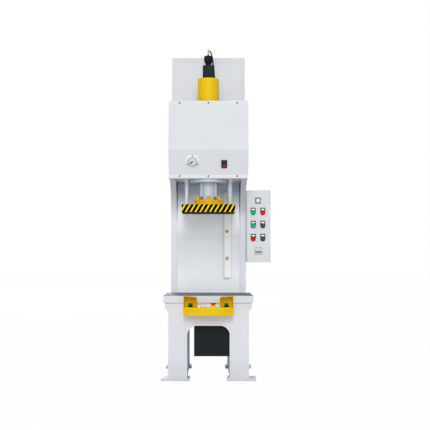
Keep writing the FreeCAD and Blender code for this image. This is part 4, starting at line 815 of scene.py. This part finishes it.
dial = turned([(0.0078, 0.0), (0.0078, dial_radius), (0.0083, dial_radius), (0.0083, 0.0)],
              gauge_centre, slope_out, 64)
built("gauge_dial", [dial], dial_paint, "frame", round_angle)
margin = turned([(0.0074, 0.0), (0.0074, margin_radius), (0.0092, margin_radius), (0.0092, 0.0276),
                 (0.0080, 0.0268), (0.0080, 0.0)], gauge_centre, slope_out, 64)
built("gauge_margin", [margin], margin_blue, "frame", round_angle)
print("dial:", round(2000 * dial_radius, 1), "mm across")

# %% [markdown]
# ## The scale
# The scale runs over 270 degrees, from the lower left round to the lower right, with a long tick at each
# fifth step and a plain number beside it. Ticks are thin boxes laid out by angle, numbers are text made
# into mesh, and both are carried onto the slope by one function.

# %% Places on the slope
def on_slope(centre, across, along, out):
    """Point of the slope's own axes: centre + across * side + along * up + out * normal."""
    flat = [np.asarray(value, float)[..., None] for value in (across, along, out)]
    return centre + flat[0] * slope_side + flat[1] * slope_up + flat[2] * slope_out


def spun(flat, angle):
    """Points (x, y) turned by the angle: x cos - y sin, x sin + y cos."""
    across = flat[:, 0] * math.cos(angle) - flat[:, 1] * math.sin(angle)
    return across, flat[:, 0] * math.sin(angle) + flat[:, 1] * math.cos(angle)


def bar(centre, angle, inner, outer, width, low, high):
    """Thin box along a ray of the dial, from the inner to the outer radius."""
    corners, faces = block((inner, -width / 2.0, low), (outer, width / 2.0, high))
    return on_slope(centre, *spun(corners, angle), corners[:, 2]), faces


def lettered(name, words, size, centre, x, z, out):
    """Text made into a thin mesh, centred at x and z of the slope's axes."""
    line = bpy.data.curves.new(name, "FONT")
    line.body, line.size, line.extrude = words, size, 0.00008
    line.align_x, line.align_y = "CENTER", "CENTER"
    holder = bpy.data.objects.new(name, line)
    mesh = bpy.data.meshes.new_from_object(holder)
    bpy.data.objects.remove(holder)
    flat = np.empty(len(mesh.vertices) * 3)
    mesh.vertices.foreach_get("co", flat)
    flat = flat.reshape(-1, 3)
    placed = on_slope(centre, flat[:, 0] + x, flat[:, 1] + z, flat[:, 2] + out)
    faces = [list(face.vertices) for face in mesh.polygons]
    bpy.data.meshes.remove(mesh)
    return placed, faces


print("switch lies", round(float(switch_centre[0] - gauge_centre[0]), 3), "m right of the gauge")

# %% Ticks and numbers
scale_steps = 25
scale_angles = np.radians(225.0 - 270.0 * np.linspace(0.0, 1.0, scale_steps + 1))
figure_radius = 0.0166
ticks = [bar(gauge_centre, angle, 0.0228 if step % 5 else 0.0210, 0.0262, 0.0004 if step % 5 else 0.0009,
             0.0081, 0.00845) for step, angle in enumerate(scale_angles)]
figures = [lettered("figure", str(step), 0.0056, gauge_centre, figure_radius * math.cos(scale_angles[step]),
                    figure_radius * math.sin(scale_angles[step]), 0.00835)
           for step in range(0, scale_steps + 1, 5)]
built("gauge_scale", ticks + figures, dial_ink, "frame")
print("scale:", len(ticks), "ticks,", len(figures), "numbers")

# %% [markdown]
# ## The needle
# The needle of the CAD model is a plain bar. A leaf-shaped blade over it, with a domed hub, makes it read
# from a step away. The blade is one outline at two levels, turned to where the needle points at rest, and
# both pieces ride on the needle's body.

# %% Hub and blade
def plate_faces(count):
    """Two caps and the quads between them, for an outline of this many points at two levels."""
    rim = [[k, (k + 1) % count, count + (k + 1) % count, count + k] for k in range(count)]
    return [list(range(count))[::-1], list(range(count, 2 * count))] + rim


hub = turned([(0.0105, 0.0), (0.0105, 0.0030), (0.0117, 0.0028), (0.0122, 0.0018), (0.0124, 0.0)],
             gauge_centre, slope_out)
built("needle_hub", [hub], red_plastic, "gauge_needle_body", round_angle)
blade_half = np.array([(-0.0050, -0.0016), (0.0020, -0.0032), (0.0120, -0.0072), (0.0175, -0.0050)])
blade = np.vstack([blade_half, [(0.0225, 0.0)], blade_half[::-1] * (1.0, -1.0)])
blade_points = on_slope(gauge_centre, *spun(np.vstack([blade, blade]), math.radians(225.0)),
                        np.repeat([0.01075, 0.0114], len(blade)))
built("needle_blade", [(blade_points, plate_faces(len(blade)))], needle_enamel, "gauge_needle_body")
print("blade:", len(blade), "points round")

# %% [markdown]
# ## Screws
# A cover screw is a low dome with a round socket. All screws of the press come from one profile, given by
# radius and height. Three of them hold the gauge's flange, at a third of a turn from each other.

# %% The profile, and the gauge's screws
def screw(centre, axis, radius, height):
    """Dome that narrows to 0.86 and 0.6 of the radius, round a socket of 0.45, sunk a little at its foot."""
    socket = 0.45 * radius
    profile = [(-0.0006, 0.0), (-0.0006, radius), (0.35 * height, radius), (0.75 * height, radius * 0.86),
               (height, radius * 0.6), (height, socket), (0.4 * height, socket), (0.4 * height, 0.0)]
    return turned(profile, centre, axis, 20)


thirds = np.radians((90.0, 210.0, 330.0))
gauge_screws = [screw(centre, slope_out, 0.0039, 0.0028) for centre in
                on_slope(gauge_centre, 0.042 * np.cos(thirds), 0.042 * np.sin(thirds), np.full(3, 0.0050))]
built("gauge_screws", gauge_screws, dark_steel, "frame", round_angle)
print("gauge screws:", len(gauge_screws))

# %% [markdown]
# ## Marks on the buttons
# Each legend frame holds a white plate in its window. The start and stop halves of the dual switch carry a
# moulded bar and a ring, which is twenty short bars round a centre.

# %% Legend plates and switch marks
device_x = (0.319, 0.387)
device_z = (1.149, 1.056, 0.963)
plates = [block((x - 0.0117, -0.0014, z + 0.0093), (x + 0.0117, -0.0004, z + 0.0197))
          for z in device_z for x in device_x]
built("legend_plates", plates, label_white, "door")
bar_mark = bar(switch_centre, math.pi / 2, 0.0080, 0.0160, 0.0014, 0.0078, 0.0083)
ring_centre = on_slope(switch_centre, 0.0, -0.012, 0.0)
ring_mark = [bar(ring_centre, angle, 0.0031, 0.0043, 0.0012, 0.0078, 0.0083)
             for angle in np.linspace(0.0, 2.0 * np.pi, 20, endpoint=False)]
built("on_mark", [bar_mark], mark_grey, "switch_on_button_body")
built("off_mark", ring_mark, mark_grey, "switch_off_button_body")
print("plates:", len(plates), "bars of the ring:", len(ring_mark))

# %% [markdown]
# ## The counter
# The counter shows six noughts behind its pale window, each of four upright and two level bars, and has a
# dark groove under it. The bars are boxes, laid out from one list, and stand a tenth of a millimetre
# proud of the window.

# %% Window, figures and groove
counter_x, counter_z = 0.356, 0.8675


def on_counter(half_width, low, high, front, back, x=0.0):
    """Box on the counter's face: x to both sides, z from low to high, y from front to back."""
    return block((counter_x + x - half_width, front, counter_z + low),
                 (counter_x + x + half_width, back, counter_z + high))


display = on_counter(0.0213, 0.0007, 0.0213, -0.0026, -0.0019)
built("counter_display", [display], display_green, "door")
strokes = [(x, z, 0.0004, 0.0030) for x, z in
           ((-0.0022, 0.0036), (0.0022, 0.0036), (-0.0022, -0.0036), (0.0022, -0.0036))]
strokes += [(0.0, 0.0072, 0.0018, 0.0004), (0.0, -0.0072, 0.0018, 0.0004)]
figure_middle = 0.011
segments = [on_counter(half_x, figure_middle + z - half_z, figure_middle + z + half_z, -0.00275, -0.0025,
                       column + x)
            for column in np.linspace(-0.0168, 0.0168, 6) for x, z, half_x, half_z in strokes]
built("counter_figures", segments, dial_ink, "door")
groove = on_counter(0.0225, -0.0110, -0.0020, -0.0037, -0.0030)
built("counter_groove", [groove], groove_and_shadow_grey, "door")
print("bars:", len(segments))

# %% [markdown]
# ## Screws of the covers
# The rear cover, the tank lid and the front of the drive enclosure come off for service, so each is held
# by a row of small domed screws, all from the profile above.

# %% Cover screws
rear_y, lid_z, case_y = 0.4285, 2.2625, -0.3665
rear_places = [(x, z) for x in (-0.121, 0.121) for z in np.linspace(0.611, 1.269, 5)]
rear_places += [(0.0, 0.611), (0.0, 1.269)]
lid_places = [(x, y) for x in np.linspace(-0.250, 0.250, 4) for y in (0.085, 0.4145)]
lid_places += [(x, y) for x in (-0.250, 0.250) for y in (0.195, 0.305)]
case_places = [(x, z) for x in (-0.088, 0.109) for z in (0.173, 0.425)]
rear_screws = [screw((x, rear_y, z), (0, 1, 0), 0.0050, 0.0034) for x, z in rear_places]
lid_screws = [screw((x, y, lid_z), (0, 0, 1), 0.0055, 0.0036) for x, y in lid_places]
case_screws = [screw((x, case_y, z), (0, -1, 0), 0.0048, 0.0030) for x, z in case_places]
built("rear_screws", rear_screws, zinc, "frame", round_angle)
built("lid_screws", lid_screws, zinc, "frame", round_angle)
built("enclosure_screws", case_screws, dark_steel, "frame", round_angle)
print("screws:", len(rear_screws) + len(lid_screws) + len(case_screws))

# %% [markdown]
# ## The rod flange's pins and ring
# Two oiled dowel pins stand in the flange beside the piston rod, and a thin machined ring lies on its top.
# Both ride on the slide. A grey strip in the gap between the button box and the column is painted shade, the
# dark line of the gap.

# %% Pins, ring and the gap's shade strip
rod_y = -0.1665
flange_top = 1.2140
pin_profile = [(-0.0010, 0.0), (-0.0010, 0.0048), (0.0230, 0.0048), (0.0250, 0.0034), (0.0250, 0.0)]
pins = [turned(pin_profile, (x, rod_y - 0.045, flange_top), (0, 0, 1), 20) for x in (-0.0485, 0.0485)]
built("flange_pins", pins, oiled_steel, "slide", round_angle)
gap_shade_strip = block((0.2688, 0.0100, 0.7900), (0.2758, 0.0900, 1.2980))
built("box_gap_shade", [gap_shade_strip], gap_shade_grey, "frame")
ring_profile = [(-0.0015, 0.0), (-0.0015, 0.1009), (0.0028, 0.1009), (0.0036, 0.1001), (0.0036, 0.0)]
ring = turned(ring_profile, (0.0, rod_y, flange_top), (0, 0, 1), 72)
built("flange_ring", [ring], orange_enamel, "slide", round_angle)
print("pins:", len(pins), "faces of the ring:", len(ring[1]))

# %% [markdown]
# ## The rail, and painted shade in the throat
# The sensor rail is a thin painted shell on a wider grey strip, both with rounded lower corners; the strip's
# rim round the shell is painted shade, the outline of shadow round the rail. Where the throat's back wall
# meets the side plates, a white strip carries a painted shadow line that is dark under the head and fades
# downward.

# %% Rail, its shadow outline and the corner shadow lines
def rounded_strip(x0, x1, z0, z1, y0, y1, radius, steps=8):
    """Plate whose lower corners are corner centre + radius * (cos, sin), mirrored from left to right."""
    angle = np.linspace(np.pi, 1.5 * np.pi, steps)
    left = np.column_stack([x0 + radius + radius * np.cos(angle), z0 + radius + radius * np.sin(angle)])
    right = np.column_stack([x0 + x1 - left[::-1, 0], left[::-1, 1]])
    outline = np.vstack([[(x0, z1)], left, right, [(x1, z1)]])
    flat = np.vstack([outline, outline])
    points = np.column_stack([flat[:, 0], np.repeat([y0, y1], len(outline)), flat[:, 1]])
    return points, [face[::-1] for face in plate_faces(len(outline))]


rail_outline = rounded_strip(0.1120, 0.1672, 0.6715, 1.2900, 0.0700, 0.0737, 0.013)
built("rail_shade_outline", [rail_outline], rail_shade_enamel, "frame")
shell = rounded_strip(0.1135, 0.1645, 0.6750, 1.2900, 0.0545, 0.0730, 0.011)
built("rail_shell", [shell], rail_enamel, "frame")
corner_shades = [block((x - 0.0035, 0.0712, 1.0600), (x + 0.0035, 0.0737, 1.3920)) for x in (-0.2245, 0.2245)]
built("throat_corner_shade", corner_shades, corner_shade_enamel, "frame")
print("points of the rail's shell:", len(shell[0]))

# %% [markdown]
# ## The plate of the two-hand box
# Between the two palm buttons lies a white plate, folded up at the back against the housing. It is bare
# here, and two boxes that share an edge are enough.

# %% Label plate
label = [block((-0.072, -0.560, 0.4948), (0.082, -0.4370, 0.4956)),
         block((-0.072, -0.4390, 0.4952), (0.082, -0.4370, 0.5060))]
built("button_label", label, label_white, "frame")
print("label plate:", round(0.082 + 0.072, 3), "m wide")

# %% [markdown]
# ## Weld beads
# The plates of the frame meet in fillet welds. A bead is a quarter round between two plates, and each drop
# of metal leaves a crescent: the radius swells by a small absolute sine along the way, and the wave is
# delayed towards the two edges. The beads are under the same white paint as the plates.

# %% A bead
drop_pitch = 0.0045          # from one drop of metal to the next


def bead(start, end, first, second, leg=0.0055, pitch=drop_pitch, steps=9):
    """radius = leg * (0.86 + 0.14 * |sin(pi * (s / pitch - bow))|), bow = 0.5 * (4 a / pi - 1) ** 2."""
    start, end, first, second = (np.asarray(value, float) for value in (start, end, first, second))
    run = end - start
    length = np.linalg.norm(run)
    rows = int(length / pitch * 4.0)
    share = np.linspace(0.0, 1.0, rows)[:, None]
    angle = np.linspace(0.0, 0.5 * np.pi, steps)[None, :]
    bow = 0.5 * (4.0 * angle / np.pi - 1.0) ** 2
    radius = leg * (0.86 + 0.14 * np.abs(np.sin(np.pi * (share * length / pitch - bow))))
    radius = radius * np.clip(np.minimum(share, 1.0 - share) * length / leg, 0.15, 1.0) ** 0.5
    shift = (radius * np.cos(angle))[..., None] * first + (radius * np.sin(angle))[..., None] * second
    corner = first + second
    heel = np.broadcast_to(-0.0006 * corner, (rows, 1, 3))
    ring = np.concatenate([shift - 0.0003 * corner, heel], axis=1) + (start + share * run)[:, None, :]
    poles = np.stack([start, end]) + 0.0005 * corner
    faces = skin(rows, steps + 1)
    if np.dot(np.cross(first, second), run) < 0:
        faces = [face[::-1] for face in faces]
    return np.vstack([poles[:1], ring.reshape(-1, 3), poles[1:]]), faces


print("drops of metal in 100 mm of weld:", round(0.1 / drop_pitch))

# %% Fillet welds
column_half = 0.2685         # over the side plates
leg_inside = 0.141
pad_top = 0.020
up, down = np.array([0.0, 0.0, 1.0]), np.array([0.0, 0.0, -1.0])
welds = []
for side in (-1.0, 1.0):
    out = np.array([side, 0.0, 0.0])
    for near in (-0.4265, 0.2965):
        for x, away in ((column_half, out), (leg_inside, -out)):
            welds.append(bead((side * x, near + 0.006, pad_top), (side * x, near + 0.124, pad_top), away, up))
    welds.append(bead((side * column_half, -0.420, 0.470), (side * column_half, 0.068, 0.470), out, down))
    welds.append(bead((side * 0.2285, 0.0735, 0.578), (side * 0.2285, 0.0735, 1.080), -out, (0, -1, 0),
                      0.0045))
built("weld_beads", welds, frame_enamel, "frame", 60.0)
print("weld beads:", len(welds))

# %% [markdown]
# ## The joint and its shadow under the table
# The table is screwed on the bed plate, and a thin grey strip runs along the joint between them on the front
# and the two sides: partly the joint, partly painted shadow under the table's overhanging edge.

# %% Joint and shadow line
joint_shadow_low, joint_shadow_high = 0.5162, 0.5192
joint_shadow = [block((-0.2885, -0.4290, joint_shadow_low), (0.2885, -0.4255, joint_shadow_high))]
joint_shadow += [block((x - 0.0012, -0.4255, joint_shadow_low), (x + 0.0012, 0.0730, joint_shadow_high)) for x in (-0.2890, 0.2890)]
built("table_joint_shadow", joint_shadow, groove_and_shadow_grey, "frame")
print("joint:", round(1000 * (joint_shadow_high - joint_shadow_low)), "mm high")

# %% [markdown]
# ## Lamps
# The press stands in a white studio: one wide lamp above the operator, a low one that reaches in under the
# head and the table, two weak ones from the sides and one from behind for the rear faces.

# %% Softboxes
def softbox(name, power, size, location, aim):
    """Rectangle lamp at the location that looks at the height aim on the press's middle line."""
    data = bpy.data.lights.new(name, "AREA")
    data.color = (1.0, 0.99, 0.975)
    data.shape = "RECTANGLE"
    data.energy = power
    data.size, data.size_y = size
    lamp = bpy.data.objects.new(name, data)
    bpy.context.scene.collection.objects.link(lamp)
    lamp.location = location
    lamp.rotation_euler = (Vector((0.0, 0.0, aim)) - Vector(location)).to_track_quat("-Z", "Y").to_euler()
    return lamp


softbox("front_lamp", 1255.0, (5.0, 7.0), (-0.2, -18.0, 7.6), 1.2)
softbox("low_lamp", 340.0, (8.0, 3.0), (-0.4, -18.0, 1.0), 0.9)
softbox("left_lamp", 32.0, (2.0, 4.0), (-4.2, -3.5, 1.6), 1.2)
softbox("right_lamp", 26.0, (2.0, 4.0), (4.2, -3.5, 1.6), 1.2)
softbox("rear_lamp", 760.0, (6.0, 6.0), (-4.0, 17.0, 6.5), 1.2)
print("lamps:", len(bpy.data.lights))

# %% [markdown]
# ## Surround and floor
# A pale, even surround fills the shadows. Rays from the camera, and those that metal and glass send on, see
# it as plain white instead. The floor is white for the camera too, but keeps a small share of its real
# shading, so that the shadow under the feet stays.

# %% Surround
world = bpy.data.worlds.new("studio")
bpy.context.scene.world = world
world.use_nodes = True
sky = world.node_tree
sky.nodes.clear()
rays = node(sky, "LightPath").outputs
seen = calc(sky, "MAXIMUM", calc(sky, "MAXIMUM", rays["Is Camera Ray"], rays["Is Glossy Ray"]),
            rays["Is Transmission Ray"])
soft = node(sky, "Background", {"Color": (0.84, 0.93, 1.0, 1.0), "Strength": 0.32}).outputs[0]
white = node(sky, "Background", {"Color": (1.0, 1.0, 1.0, 1.0), "Strength": 1.0}).outputs[0]
both = node(sky, "MixShader", {0: seen, 1: soft, 2: white}).outputs[0]
plug(sky, node(sky, "OutputWorld").inputs["Surface"], both)
print("nodes of the surround:", len(sky.nodes))

# %% Floor
floor_reach = 60.0
white_share = 0.98


def floor_finish(name):
    """White sheet: mix of real shading and white light, by white_share for camera rays only."""
    material, tree, shader = fresh(name, Roughness=0.8, Base_Color=(0.92, 0.92, 0.92, 1.0))
    glow = node(tree, "Emission", {"Color": (1.0, 1.0, 1.0, 1.0), "Strength": 1.0}).outputs[0]
    share = calc(tree, "MULTIPLY", node(tree, "LightPath").outputs["Is Camera Ray"], white_share)
    mixed = node(tree, "MixShader", {0: share, 1: shader.outputs[0], 2: glow}).outputs[0]
    plug(tree, tree.nodes["Material Output"].inputs["Surface"], mixed)
    return material


floor_mesh = bpy.data.meshes.new("studio_floor")
floor_mesh.from_pydata([(-floor_reach, -floor_reach, 0), (floor_reach, -floor_reach, 0),
                        (floor_reach, floor_reach, 0), (-floor_reach, floor_reach, 0)], [], [(0, 1, 2, 3)])
floor = bpy.data.objects.new("studio_floor", floor_mesh)
bpy.context.scene.collection.objects.link(floor)
floor_mesh.materials.append(floor_finish("floor_white"))
bpy.context.scene.view_settings.view_transform = "Standard"
print("floor:", 2 * floor_reach, "m wide")
